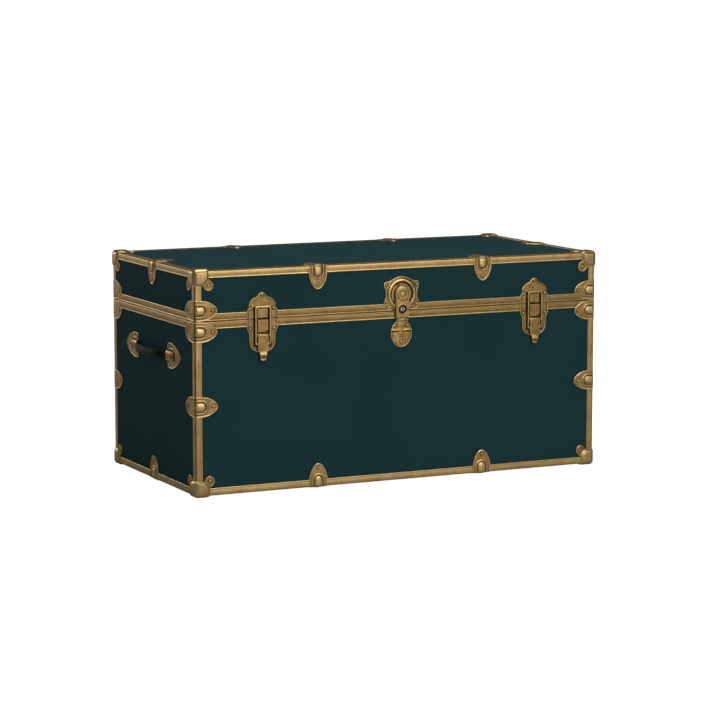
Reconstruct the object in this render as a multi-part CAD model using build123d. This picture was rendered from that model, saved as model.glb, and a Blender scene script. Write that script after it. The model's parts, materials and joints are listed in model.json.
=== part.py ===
"""Steamer trunk, flat-topped, 36 x 18 x 18 inch class. Millimetres, +Z up, -Y is the front.
Origin: centre of the footprint, at floor level under the corner caps."""

from build123d import *
import math
import os

os.makedirs("parts", exist_ok=True)

# ---------------------------------------------------------------- driving dimensions
WIDTH = 907.0        # across the edge trims, X
DEPTH = 453.5        # across the edge trims, Y
PROUD = 3.5          # corner caps stand this far out of the trims
TRIM_BOTTOM = PROUD  # underside of the bottom trims
TRIM_TOP = 452.5     # top of the top trims
SEAM = 352.0         # the plane where lid meets body
GAP = 0.25           # each rim stays this far from the seam plane
TRIM_T = 1.0         # sheet brass trims
COVER_T = 1.0        # vinyl sheet over the plywood
PLY_T = 9.5          # plywood
LEG = 14.5           # trim leg width
RIM = 15.0           # rim trim height on the outside
CORNER = 15.0        # trims stop this far from each box corner, under the caps

TRIM_X, TRIM_Y = WIDTH / 2, DEPTH / 2                    # trim faces
COVER_X, COVER_Y = TRIM_X - TRIM_T, TRIM_Y - TRIM_T      # covering faces
PLY_X, PLY_Y = COVER_X - COVER_T, COVER_Y - COVER_T      # plywood outer faces
INNER_X, INNER_Y = PLY_X - PLY_T, PLY_Y - PLY_T          # plywood inner faces
COVER_BOTTOM, COVER_TOP = TRIM_BOTTOM + TRIM_T, TRIM_TOP - TRIM_T
PLY_BOTTOM, PLY_TOP = COVER_BOTTOM + COVER_T, COVER_TOP - COVER_T
INNER_BOTTOM, INNER_TOP = PLY_BOTTOM + PLY_T, PLY_TOP - PLY_T
BODY_RIM_Z, LID_RIM_Z = SEAM - GAP, SEAM + GAP           # rim faces that meet
BODY_PLY_TOP = BODY_RIM_Z - TRIM_T                       # plywood edge under the body rim
LID_PLY_BOTTOM = LID_RIM_Z + TRIM_T                      # plywood edge over the lid rim

STAMP_T = 1.5        # cap ears and edge clamps
PLATE_T = 1.0        # front plates, out of the trims
LAP = 0.9            # what sits on a front plate starts this far out, sunk into it
PIN_R = 1.2          # draw bolt and lock pins
LUG_HOLE_R = 1.22    # fixed lugs around a pin
TURN_HOLE_R = 1.25   # moving barrels around a pin
SIDES = (-1, 1)


# ---------------------------------------------------------------- helpers
def block(x0, x1, y0, y1, z0, z1):
    """Box between two planes on each axis, given in either order."""
    centre = Pos((x0 + x1) / 2, (y0 + y1) / 2, (z0 + z1) / 2)
    return centre * Box(abs(x1 - x0), abs(y1 - y0), abs(z1 - z0))


def rod_x(radius, x0, x1, y, z):
    return Pos((x0 + x1) / 2, y, z) * (Rot(0, 90, 0) * Cylinder(radius, abs(x1 - x0)))


def rod_y(radius, y0, y1, x, z):
    return Pos(x, (y0 + y1) / 2, z) * (Rot(90, 0, 0) * Cylinder(radius, abs(y1 - y0)))


def front(out):
    """Y of a plane that stands out of the front trims by this much."""
    return -(TRIM_Y + out)


def prism(points, push):
    face = Face(Wire.make_polygon(points, close=True))
    return Solid.extrude(face, push)


def side_prism(points, x0, x1):
    """Prism along X from a closed polygon of (distance out of the front trims, z)."""
    x0, x1 = sorted((x0, x1))
    return prism([Vector(x0, front(out), z) for out, z in points], Vector(x1 - x0, 0, 0))


def leaf_prism(right, left, push):
    """Prism from two mirrored splines that meet at their last point; a line joins the first."""
    edges = [Edge.make_spline(right), Edge.make_spline(left), Edge.make_line(right[0], left[0])]
    return Solid.extrude(Face(Wire(edges)), push)


def front_plate(outline, x_centre=0.0):
    """Plate on the front from a right-hand outline of (x, z), mirrored about its centre line."""
    y_face = front(PLATE_T)
    right = [Vector(x, y_face, z) for x, z in outline]
    left = [Vector(-x, y_face, z) for x, z in outline]
    edges = [Edge.make_spline(right), Edge.make_spline(left)]
    for end in (0, -1):
        if outline[end][0] > 1e-6:
            edges.append(Edge.make_line(left[end], right[end]))
    plate = Solid.extrude(Face(Wire(edges)), Vector(0, -COVER_Y - y_face, 0))
    return Pos(x_centre, 0, 0) * plate


def lug_pair(x_centre, inside, outside, out, z, radius, foot):
    """Two lugs with round noses on a front plate, reaching down by foot below the pin."""
    left, right = [
        block(x_centre + side * inside, x_centre + side * outside,
              front(LAP), front(out), z - foot, z + radius)
        + rod_x(radius, x_centre + side * inside, x_centre + side * outside, front(out), z)
        for side in SIDES]
    return left + right


def edges_at(shape, axis=None, x=None, y=None, z=None):
    """Edges, along the axis if one is given, whose centre has the given coordinates."""
    edges = shape.edges() if axis is None else shape.edges().filter_by(axis)
    return [e for e in edges
            if all(at is None or abs(c - at) < 0.01 for c, at in zip(e.center(), (x, y, z)))]


def edges_on_two(shape, x, y, z):
    """Edges whose centre lies on exactly two of the three planes."""
    return [e for e in shape.edges()
            if sum(abs(c - at) < 0.01 for c, at in zip(e.center(), (x, y, z))) == 2]


def largest(shape):
    return shape.solids().sort_by(SortBy.VOLUME)[-1]


def touches(first, second):
    """Whether the bounding boxes overlap."""
    a, b = first.bounding_box(), second.bounding_box()
    return all(a0 < b1 and b0 < a1 for a0, a1, b0, b1 in zip(a.min, a.max, b.min, b.max))


def solids_of(*things):
    """All solids of shapes and nested lists of shapes, in order."""
    out = []
    for thing in things:
        if isinstance(thing, (list, tuple)):
            out += solids_of(*thing)
        else:
            out += list(thing.solids())
    return out


def save(name, *things):
    group = solids_of(*things)
    shape = group[0] if len(group) == 1 else Compound(children=group)
    export_step(shape, f"parts/{name}.step")


# ---------------------------------------------------------------- fitting over the trims
def trim_space():
    """Solids covering each trim's volume: anything laid over the trims is cut by them."""
    out = []
    for z0, z1 in ((TRIM_TOP - LEG, TRIM_TOP), (TRIM_BOTTOM, TRIM_BOTTOM + LEG),
                   (BODY_RIM_Z - RIM, LID_RIM_Z + RIM)):
        out += [block(-TRIM_X, TRIM_X, s * TRIM_Y, s * COVER_Y, z0, z1) for s in SIDES]
        out += [block(s * TRIM_X, s * COVER_X, -TRIM_Y, TRIM_Y, z0, z1) for s in SIDES]
    for z0, z1 in ((COVER_BOTTOM, TRIM_BOTTOM), (COVER_TOP, TRIM_TOP)):
        out += [block(-TRIM_X, TRIM_X, s * TRIM_Y, s * (TRIM_Y - LEG), z0, z1) for s in SIDES]
        out += [block(s * TRIM_X, s * (TRIM_X - LEG), -TRIM_Y, TRIM_Y, z0, z1) for s in SIDES]
    for sx in SIDES:
        for sy in SIDES:
            out += upright_legs(sx, sy, TRIM_BOTTOM, TRIM_TOP)
    return out


def upright_legs(sx, sy, z0, z1):
    """The two legs of an upright corner angle."""
    return [block(sx * TRIM_X, sx * (TRIM_X - LEG), sy * TRIM_Y, sy * COVER_Y, z0, z1),
            block(sx * TRIM_X, sx * COVER_X, sy * TRIM_Y, sy * (TRIM_Y - LEG), z0, z1)]


TRIMS = trim_space()
COVERED = block(-COVER_X, COVER_X, -COVER_Y, COVER_Y, COVER_BOTTOM, COVER_TOP)


def over(shape):
    """The shape with the covered box and every trim it touches cut away."""
    out = shape - COVERED
    for trim in TRIMS:
        if touches(shape, trim):
            out = out - trim
    return out


# ---------------------------------------------------------------- nails
NAIL_R, NAIL_H = 3.0, 1.3        # head
SHANK_R, SHANK_L = 1.1, 8.0
AIM = {"+z": Rot(0, 0, 0), "-z": Rot(180, 0, 0), "-y": Rot(90, 0, 0),
       "+y": Rot(-90, 0, 0), "-x": Rot(0, -90, 0), "+x": Rot(0, 90, 0)}


def nail_solid():
    """Dome-headed nail: head on z = 0 and above, shank below."""
    radius = (NAIL_R ** 2 + NAIL_H ** 2) / (2 * NAIL_H)
    slab = Pos(0, 0, NAIL_H / 2) * Box(4 * NAIL_R, 4 * NAIL_R, NAIL_H)
    dome = (Pos(0, 0, NAIL_H - radius) * Sphere(radius)) & slab
    return (dome + SHANK_AT * Cylinder(SHANK_R, SHANK_L)).solids()[0]


SHANK_AT = Pos(0, 0, -SHANK_L / 2 + 0.01)
NAIL = nail_solid()
HOLE = SHANK_AT * Cylinder(SHANK_R + 0.1, SHANK_L + 4)
lid_nails, body_nails, holes = [], [], []
stampings = {}       # nailed-on pieces by name, drilled once every nail is placed


def nail(group, aim, x, y, z):
    """Nail with its head seated at the point and facing along aim, and the hole it needs."""
    place = Pos(x, y, z) * AIM[aim]
    group.append(place * NAIL)
    holes.append(place * HOLE)


def drilled(things):
    """Each solid with the nail holes that pass through it."""
    out = []
    for solid in solids_of(*things):
        for hole in holes:
            if touches(solid, hole):
                solid = solid - hole
        out += list(solid.solids())
    return out


# ---------------------------------------------------------------- plywood box and lid
def butt_box(prefix, z0, z1):
    """Four walls; the side panels stand between the front and the back."""
    save(f"{prefix}_front_panel", block(-PLY_X, PLY_X, -PLY_Y, -INNER_Y, z0, z1))
    save(f"{prefix}_back_panel", block(-PLY_X, PLY_X, INNER_Y, PLY_Y, z0, z1))
    save(f"{prefix}_left_panel", block(-PLY_X, -INNER_X, -INNER_Y, INNER_Y, z0, z1))
    save(f"{prefix}_right_panel", block(INNER_X, PLY_X, -INNER_Y, INNER_Y, z0, z1))


def ply_envelope(z0, z1):
    return block(-PLY_X, PLY_X, -PLY_Y, PLY_Y, z0, z1)


def cover_envelope(z0, z1):
    return block(-COVER_X, COVER_X, -COVER_Y, COVER_Y, z0, z1)


butt_box("body", INNER_BOTTOM, BODY_PLY_TOP)
butt_box("lid", LID_PLY_BOTTOM, INNER_TOP)
save("body_bottom_panel", ply_envelope(PLY_BOTTOM, INNER_BOTTOM))
save("lid_top_panel", ply_envelope(INNER_TOP, PLY_TOP))
save("body_covering",
     cover_envelope(COVER_BOTTOM, BODY_PLY_TOP) - ply_envelope(PLY_BOTTOM, BODY_PLY_TOP + 5))
save("lid_covering",
     cover_envelope(LID_PLY_BOTTOM, COVER_TOP) - ply_envelope(LID_PLY_BOTTOM - 5, PLY_TOP))

# ---------------------------------------------------------------- edge trims
TRIM_ROUND = 0.9     # outer ridge of each angle
END_X, END_Y = TRIM_X - CORNER, TRIM_Y - CORNER      # trim ends


def trim_levels(top):
    """Outer face, inner face and end of the upright leg of a top or bottom trim."""
    face, inward = (TRIM_TOP, -1) if top else (TRIM_BOTTOM, 1)
    return face, face + inward * TRIM_T, face + inward * LEG


def angle_x(sy, top):
    """Trim along a front or back edge."""
    face, inside, leg_end = trim_levels(top)
    angle = (block(-END_X, END_X, sy * TRIM_Y, sy * (TRIM_Y - LEG), face, inside)
             + block(-END_X, END_X, sy * TRIM_Y, sy * COVER_Y, face, leg_end))
    return fillet(edges_at(angle, Axis.X, y=sy * TRIM_Y, z=face), TRIM_ROUND)


def angle_y(sx, top):
    """Trim along a left or right edge."""
    face, inside, leg_end = trim_levels(top)
    angle = (block(sx * TRIM_X, sx * (TRIM_X - LEG), -END_Y, END_Y, face, inside)
             + block(sx * TRIM_X, sx * COVER_X, -END_Y, END_Y, face, leg_end))
    return fillet(edges_at(angle, Axis.Y, x=sx * TRIM_X, z=face), TRIM_ROUND)


def angle_z(sx, sy, z0, z1):
    """Upright trim on a corner."""
    leg_x, leg_y = upright_legs(sx, sy, z0, z1)
    angle = leg_x + leg_y
    return fillet(edges_at(angle, Axis.Z, x=sx * TRIM_X, y=sy * TRIM_Y), TRIM_ROUND)


for prefix, top in (("lid_top", True), ("bottom", False)):
    save(f"{prefix}_trim_front_back", [angle_x(s, top) for s in SIDES])
    save(f"{prefix}_trim_sides", [angle_y(s, top) for s in SIDES])
for prefix, z0, z1 in (("body", TRIM_BOTTOM + CORNER, BODY_PLY_TOP),
                       ("lid", LID_PLY_BOTTOM, TRIM_TOP - CORNER)):
    save(f"{prefix}_corner_trims", [angle_z(sx, sy, z0, z1) for sx in SIDES for sy in SIDES])

# ---------------------------------------------------------------- rim trims
LIP = 0.4            # tongue stands this far off the lid's inner face
TONGUE = 4.0         # tongue height over the seam
TONGUE_IN = 1.4      # tongue's inner face, in from the plywood
INNER_LEG = 7.0      # body rim's leg down the inside
TONGUE_X, TONGUE_Y = INNER_X - TONGUE_IN, INNER_Y - TONGUE_IN
RIM_END_X, RIM_END_Y = INNER_X - 2, INNER_Y - 2      # ends of inner legs and tongues


def body_rim_x(sy):
    """Front or back body rim, with an inner tongue that stands up inside the lid."""
    top = BODY_RIM_Z
    rim = block(-END_X, END_X, sy * TRIM_Y, sy * COVER_Y, top - RIM, top)
    rim += block(-TRIM_X, TRIM_X, sy * TRIM_Y, sy * TONGUE_Y, BODY_PLY_TOP, top)
    rim += block(-RIM_END_X, RIM_END_X, sy * INNER_Y, sy * TONGUE_Y, top - INNER_LEG, top)
    rim += block(-RIM_END_X, RIM_END_X, sy * (INNER_Y - LIP), sy * TONGUE_Y,
                 top - 1, SEAM + TONGUE)
    return rim


def body_rim_y(sx):
    """Left or right body rim, with the same tongue."""
    top, end = BODY_RIM_Z, INNER_Y - 1.5
    rim = block(sx * TRIM_X, sx * COVER_X, -END_Y, END_Y, top - RIM, top)
    rim += block(sx * TRIM_X, sx * TONGUE_X, -end, end, BODY_PLY_TOP, top)
    rim += block(sx * INNER_X, sx * TONGUE_X, -RIM_END_Y, RIM_END_Y, top - INNER_LEG, top)
    rim += block(sx * (INNER_X - LIP), sx * TONGUE_X, -RIM_END_Y, RIM_END_Y,
                 top - 1, SEAM + TONGUE)
    return rim


def lid_rim_x(sy):
    rim = block(-END_X, END_X, sy * TRIM_Y, sy * COVER_Y, LID_RIM_Z, LID_RIM_Z + RIM)
    rim += block(-TRIM_X, TRIM_X, sy * TRIM_Y, sy * (INNER_Y + 0.1), LID_RIM_Z, LID_PLY_BOTTOM)
    return rim


def lid_rim_y(sx):
    rim = block(sx * TRIM_X, sx * COVER_X, -END_Y, END_Y, LID_RIM_Z, LID_RIM_Z + RIM)
    rim += block(sx * TRIM_X, sx * (INNER_X + 0.1), -INNER_Y, INNER_Y,
                 LID_RIM_Z, LID_PLY_BOTTOM)
    return rim


for prefix, rim_x, rim_y in (("body", body_rim_x, body_rim_y), ("lid", lid_rim_x, lid_rim_y)):
    stampings[f"{prefix}_rim_trim_front"] = [rim_x(-1)]
    save(f"{prefix}_rim_trim_back", rim_x(1))
    save(f"{prefix}_rim_trim_sides", [rim_y(s) for s in SIDES])

# ---------------------------------------------------------------- corner caps
CAP = 28.5           # patch each face is covered by
CAP_ROUND = 12.0     # its free corners
CAP_EDGE_ROUND = 6.0     # edges that meet at the trunk's corner
EAR_AT, EAR_R = 29.2, 10.8   # centre of the ear's round end, from both edges; its radius
EAR_ROOT = 12.0      # centre of the ear's root, from both edges


def cap_solid(top):
    """Domed corner cap at -X, -Y, with an ear on each face."""
    x_out, y_out = -TRIM_X - PROUD, -TRIM_Y - PROUD
    x_in, y_in = -TRIM_X + CAP, -TRIM_Y + CAP
    z_out = TRIM_TOP + PROUD if top else 0.0
    z_in = TRIM_TOP - CAP if top else TRIM_BOTTOM + CAP
    body = block(x_out, x_in, y_out, y_in, z_out, z_in)
    body = fillet(edges_on_two(body, x_in, y_in, z_in), CAP_ROUND)
    body = fillet(edges_on_two(body, x_out, y_out, z_out), CAP_EDGE_ROUND)
    inward = -1 if top else 1
    z_face = TRIM_TOP if top else TRIM_BOTTOM
    # ears: a rounded tongue along each face's diagonal, (along, along) from the corner
    angles = [math.radians(45 + k * 11.25) for k in range(-8, 9)]
    ear = [(EAR_AT + EAR_R * math.cos(a), EAR_AT + EAR_R * math.sin(a)) for a in angles]
    reach = EAR_R * 0.707
    ear += [(EAR_ROOT - reach, EAR_ROOT + reach), (EAR_ROOT + reach, EAR_ROOT - reach)]
    thick = STAMP_T + TRIM_T
    front_ear = prism([Vector(-TRIM_X + u, -TRIM_Y - STAMP_T, z_face + inward * v)
                       for u, v in ear], Vector(0, thick, 0))
    left_ear = prism([Vector(-TRIM_X - STAMP_T, -TRIM_Y + u, z_face + inward * v)
                      for u, v in ear], Vector(thick, 0, 0))
    flat_ear = prism([Vector(-TRIM_X + u, -TRIM_Y + v, z_face - inward * STAMP_T)
                      for u, v in ear], Vector(0, 0, inward * thick))
    return largest(over(body + front_ear + left_ear + flat_ear))


def four(solid):
    """A solid at -X, -Y copied to all four corners."""
    right = solid.mirror(Plane.YZ)
    return [solid, right, solid.mirror(Plane.XZ), right.mirror(Plane.XZ)]


def nail_caps(group, top):
    z_side = TRIM_TOP - EAR_AT if top else TRIM_BOTTOM + EAR_AT
    z_flat = TRIM_TOP + STAMP_T if top else TRIM_BOTTOM - STAMP_T
    x_ear, y_ear = TRIM_X - EAR_AT, TRIM_Y - EAR_AT
    for sx in SIDES:
        for sy in SIDES:
            nail(group, "-y" if sy < 0 else "+y", sx * x_ear, sy * (TRIM_Y + STAMP_T), z_side)
            nail(group, "-x" if sx < 0 else "+x", sx * (TRIM_X + STAMP_T), sy * y_ear, z_side)
            nail(group, "+z" if top else "-z", sx * x_ear, sy * y_ear, z_flat)


stampings["lid_corner_caps"] = four(cap_solid(True))
stampings["bottom_corner_caps"] = four(cap_solid(False))
nail_caps(lid_nails, True)
nail_caps(body_nails, False)

# ---------------------------------------------------------------- edge clamps
CLAMP_X = 187.0      # front and back clamps, from the centre
CLAMP_HALF = 20.0    # half the width along the edge
CLAMP_L = 47.0       # reach of each flange
CLAMP_NAIL = 37.5    # nail, from the edge
MIDDLE_Z = 182.0     # clamps half-way down the body's corners
SEAM_SPACE = 1.2     # corner clamps stay this far from the seam
# half outline of a flange: (along the edge, away from the edge)
CLAMP_OUTLINE = [
    (CLAMP_HALF, 0.0), (CLAMP_HALF, 12.0), (CLAMP_HALF * 0.96, 21.0), (CLAMP_HALF * 0.875, 28.0),
    (CLAMP_HALF * 0.745, 34.4), (CLAMP_HALF * 0.56, 40.2), (CLAMP_HALF * 0.31, 45.2),
    (0.0, CLAMP_L)]


def clamp_local():
    """Clamp on an edge along X at y = 0, z = 0, the box lying at +y and -z:
    one flange down the y = 0 face, one along the z = 0 face."""
    thin, half = STAMP_T, CLAMP_HALF

    def flange(point, push):
        return leaf_prism([point(u, v) for u, v in CLAMP_OUTLINE],
                          [point(-u, v) for u, v in CLAMP_OUTLINE], push)

    body = flange(lambda u, v: Vector(u, -thin, -v), Vector(0, thin + TRIM_T, 0))
    body += flange(lambda u, v: Vector(u, v, -TRIM_T), Vector(0, 0, thin + TRIM_T))
    body += block(-half, half, -thin, 0.5, -0.5, thin)
    body = fillet(edges_at(body, Axis.X, y=-thin, z=thin), 1.3)
    # raised rib over the edge, in the middle of the clamp
    rib_half, rise, reach = 8.5, 3.2, 20.0
    rib = (block(-rib_half, rib_half, -rise, reach, -TRIM_T, rise)
           + block(-rib_half, rib_half, -rise, TRIM_T, -reach, rise))
    outer = [e for e in rib.edges()
             if e.center().Y < -rise + 0.01 or e.center().Z > rise - 0.01]
    return body + fillet(outer, 1.6)


def direction_key(vector):
    """Name of the axis direction nearest the vector."""
    parts = (("+x", vector.X), ("-x", -vector.X), ("+y", vector.Y),
             ("-y", -vector.Y), ("+z", vector.Z), ("-z", -vector.Z))
    return max(parts, key=lambda part: part[1])[0]


def nail_clamp(group, place):
    """A clamp's two nails, found by carrying local points and directions."""
    for (x, y, z), (dx, dy, dz) in (((0, -STAMP_T, -CLAMP_NAIL), (0, -1, 0)),
                                    ((0, CLAMP_NAIL, STAMP_T), (0, 0, 1))):
        seat = (place * Pos(x, y, z)).position
        ahead = (place * Pos(x + dx, y + dy, z + dz)).position
        nail(group, direction_key(ahead - seat), seat.X, seat.Y, seat.Z)


def corner_places(z):
    """Upright clamps: the edge direction is Z."""
    return [Pos(sx * TRIM_X, sy * TRIM_Y, z) * Rot(0, 0, turn) * Rot(0, -90, 0)
            for sx, sy, turn in ((-1, -1, 0), (1, -1, 90), (1, 1, 180), (-1, 1, 270))]


CLAMP = clamp_local()
# places on the level edges: x, y, turn about Z
LEVEL_SEATS = [(-CLAMP_X, -TRIM_Y, 0), (CLAMP_X, -TRIM_Y, 0), (-CLAMP_X, TRIM_Y, 180),
               (CLAMP_X, TRIM_Y, 180), (-TRIM_X, 0, -90), (TRIM_X, 0, 90)]
top_places = [Pos(x, y, TRIM_TOP) * Rot(0, 0, turn) for x, y, turn in LEVEL_SEATS]
# on the bottom edges the frame is also turned a quarter about the edge
bottom_places = [Pos(x, y, TRIM_BOTTOM) * Rot(0, 0, turn) * Rot(90, 0, 0)
                 for x, y, turn in LEVEL_SEATS]
for name, places, group in (
        ("lid_top_edge_clamps", top_places, lid_nails),
        ("bottom_edge_clamps", bottom_places, body_nails),
        ("lid_corner_clamps", corner_places(SEAM + SEAM_SPACE + CLAMP_HALF), lid_nails),
        ("body_upper_corner_clamps", corner_places(SEAM - SEAM_SPACE - CLAMP_HALF), body_nails),
        ("body_middle_corner_clamps", corner_places(MIDDLE_Z), body_nails)):
    stampings[name] = [largest(over(place * CLAMP)) for place in places]
    for place in places:
        nail_clamp(group, place)

# ---------------------------------------------------------------- draw bolts
BOLT_X = 309.0                       # from the centre
LEVER_Z, LEVER_OUT = 319.5, 3.5      # lever pivot: height, and distance out of the trims
LINK_Z, LINK_OUT = 303.0, 2.9        # link pivot on the lever
BOSS_HALF = 11.7                     # half width of the raised blocks on the plates
LEVER_HALF = 11.4
LINK_HALF, LINK_BAR, LINK_TOP = 17.4, 3.4, 377.8
LINK_IN, LINK_FACE = 3.45, 5.65      # link faces, out of the trims
LINK_FOOT_R = 1.1
LUG_IN, LUG_OUT = 11.8, 13.5         # lug faces, from the bolt's centre
# right-hand plate outlines, from the seam outwards: x, z
STRIKE_OUTLINE = [
    (34.0, SEAM + 0.3), (34.1, 362.0), (33.8, 368.0), (32.2, 371.0), (30.0, 373.0),
    (29.7, 378.0), (28.0, 385.0), (23.5, 390.5), (17.5, 394.3), (11.5, 397.0),
    (8.3, 400.4), (5.0, 403.8), (0.0, 405.2)]
BASE_OUTLINE = [
    (34.0, SEAM - 0.3), (34.1, 342.0), (33.8, 334.0), (32.3, 329.6), (30.0, 325.5),
    (28.8, 318.0), (28.3, 307.0), (27.0, 299.0), (23.0, 292.3), (16.5, 287.6),
    (8.5, 284.6), (0.0, 283.4)]
# lever profiles: distance out of the trims, z
LEVER_PLATE = [(3.6, 319.5), (3.9, 286.0), (5.5, 286.0), (5.6, 319.5), (4.9, 321.2), (3.6, 321.2)]
FINGER_TAB = [
    (3.9, 288.0), (4.2, 277.0), (5.0, 272.0), (6.6, 269.2), (8.6, 268.3), (9.9, 268.6),
    (9.9, 270.3), (8.4, 270.0), (7.2, 270.9), (6.3, 273.4), (5.8, 278.0), (5.5, 288.0)]


def link_solid(x_centre):
    """Inverted U link, its feet turned in to pivot in the lever's cheeks."""
    y0, y1 = front(LINK_IN), front(LINK_FACE)
    leg_in = LINK_HALF - LINK_BAR
    frame = (block(-LINK_HALF, LINK_HALF, y0, y1, 374.2, LINK_TOP)
             + block(-LINK_HALF, -leg_in, y0, y1, 312, LINK_TOP)
             + block(leg_in, LINK_HALF, y0, y1, 312, LINK_TOP))
    frame = fillet(edges_at(frame, Axis.Y, z=LINK_TOP), 3.0)
    foot_in, foot_out = LINK_OUT - LINK_FOOT_R, LINK_OUT + LINK_FOOT_R
    foot_profile = [(LINK_FACE, 314), (LINK_IN, 314), (foot_in, 306), (foot_in, 301),
                    (foot_out, 301), (foot_out, 306.5), (LINK_FACE, 313)]
    for s in SIDES:
        foot = side_prism(foot_profile, s * LINK_HALF, s * leg_in)
        toe = rod_x(LINK_FOOT_R, s * LINK_HALF, s * 9.6, front(LINK_OUT), LINK_Z)
        frame = frame + foot + toe
    return Pos(x_centre, 0, 0) * frame


def lever_solid(x_centre):
    """Flip lever: barrel on the base's pin, a plate with cheeks for the link, a finger tab."""
    barrel = rod_x(2.3, -LEVER_HALF, LEVER_HALF, front(LEVER_OUT), LEVER_Z)
    plate = side_prism(LEVER_PLATE, -LEVER_HALF, LEVER_HALF)
    cheeks = (block(-LEVER_HALF, -9.4, front(1.5), front(4.4), 299.3, 307.0)
              + block(9.4, LEVER_HALF, front(1.5), front(4.4), 299.3, 307.0))
    tab = side_prism(FINGER_TAB, -7.8, 7.8)
    lever = barrel + plate + cheeks + tab
    lever = lever - rod_x(TURN_HOLE_R, -20, 20, front(LEVER_OUT), LEVER_Z)
    lever = lever - rod_x(LINK_FOOT_R + 0.1, -20, 20, front(LINK_OUT), LINK_Z)
    return Pos(x_centre, 0, 0) * lever


def strike_solid(x_centre):
    """Plate on the lid with the block the link hooks over."""
    top, out = 372.0, front(3.15)
    plate = front_plate(STRIKE_OUTLINE, x_centre)
    catch = block(x_centre - BOSS_HALF, x_centre + BOSS_HALF, front(LAP), out, SEAM + 0.9, top)
    return over(plate + fillet(edges_at(catch, Axis.X, y=out, z=top), 1.6))


def base_solid(x_centre):
    """Plate on the body with a raised block and the lever's lugs."""
    out = front(4.6)
    plate = front_plate(BASE_OUTLINE, x_centre)
    boss = block(x_centre - BOSS_HALF, x_centre + BOSS_HALF, front(LAP), out, 324.6, SEAM - 1.4)
    boss = fillet(edges_at(boss, Axis.X, y=out), 1.2)
    base = plate + boss + lug_pair(x_centre, LUG_IN, LUG_OUT, LEVER_OUT, LEVER_Z, 3.0, 3.0)
    hole = rod_x(LUG_HOLE_R, x_centre - 20, x_centre + 20, front(LEVER_OUT), LEVER_Z)
    return over(base - hole)


for tag, x_bolt in (("left", -BOLT_X), ("right", BOLT_X)):
    stampings[f"drawbolt_strike_{tag}"] = [strike_solid(x_bolt)]
    stampings[f"drawbolt_base_{tag}"] = [base_solid(x_bolt)]
    save(f"drawbolt_lever_{tag}", lever_solid(x_bolt))
    save(f"drawbolt_link_{tag}", link_solid(x_bolt))
    nail(lid_nails, "-y", x_bolt, front(PLATE_T), 399.6)
    for s in SIDES:
        nail(lid_nails, "-y", x_bolt + s * 25.2, front(PLATE_T), 372.6)
        nail(body_nails, "-y", x_bolt + s * 25.6, front(PLATE_T), 331.6)
save("drawbolt_pivot_pins", [rod_x(PIN_R, x - 13.45, x + 13.45, front(LEVER_OUT), LEVER_Z)
                             for x in (-BOLT_X, BOLT_X)])

# ---------------------------------------------------------------- centre lock
HASP_Z, HASP_OUT = 333.5, 3.5        # hasp hinge
HASP_BARREL_R, HASP_NECK = 2.3, 9.6  # barrel radius, half width of the neck
HASP_BACK, HASP_FACE = 2.6, 7.0      # case faces, out of the trims
KEY_Z = 355.5                        # key cylinder
LOCK_Z = 386.5                       # centre of the ring and the hasp's round head
# right-hand plate outlines: x, z
SHIELD_OUTLINE = [
    (0.0, 422.6), (9.0, 421.6), (17.4, 418.4), (24.8, 414.4), (31.0, 412.8), (37.2, 411.8),
    (40.2, 408.5), (39.4, 402.0), (37.1, 395.0), (36.2, 387.0), (37.1, 379.0), (39.6, 372.0),
    (40.3, 366.5), (39.0, 360.5), (34.2, 356.0), (28.0, 353.6), (18.0, SEAM + 0.4),
    (8.0, SEAM + 0.3), (0.0, SEAM + 0.3)]
EGG_OUTLINE = [
    (12.5, 331.0), (15.0, 328.0), (19.5, 322.5), (22.9, 316.0), (24.3, 308.5), (23.8, 300.0),
    (20.6, 291.0), (15.0, 283.4), (8.0, 278.6), (0.0, 277.0)]


def shield_plate():
    """Plate on the lid with a raised ring around the hasp's head."""
    ring = (rod_y(32.0, front(LAP), front(2.1), 0, LOCK_Z)
            - rod_y(24.5, front(0.5), front(3.0), 0, LOCK_Z))
    ring = ring & block(-40, 40, front(0), front(5), SEAM + 0.6, 430)
    return over(front_plate(SHIELD_OUTLINE) + ring)


def lower_plate():
    """Egg-shaped plate on the body with two ribs and the hasp's lugs."""
    ribs = (block(-22.0, -8.0, front(LAP), front(1.7), 311.2, 313.2)
            + block(8.0, 22.0, front(LAP), front(1.7), 311.2, 313.2))
    lugs = lug_pair(0, 9.9, 13.9, HASP_OUT, HASP_Z, HASP_BARREL_R, 3.2)
    plate = front_plate(EGG_OUTLINE) + ribs + lugs
    return over(plate - rod_x(LUG_HOLE_R, -20, 20, front(HASP_OUT), HASP_Z))


def hasp_solid():
    """Barrel and neck, then a flat case with a round head and a medallion."""
    back, face = front(HASP_BACK), front(HASP_FACE)
    case = block(-14.8, 14.8, back, face, 338.0, LOCK_Z) + rod_y(16.4, back, face, 0, LOCK_Z)
    neck = block(-HASP_NECK, HASP_NECK, front(1.9), front(4.9), HASP_Z, 339.0)
    hasp = case + neck + rod_x(HASP_BARREL_R, -HASP_NECK, HASP_NECK, front(HASP_OUT), HASP_Z)
    hasp = hasp + rod_y(14.2, front(6.8), front(7.8), 0, LOCK_Z)
    hasp = hasp - rod_x(TURN_HOLE_R, -20, 20, front(HASP_OUT), HASP_Z)
    return hasp - rod_y(6.6, front(1.0), front(9.0), 0, KEY_Z)


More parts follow.
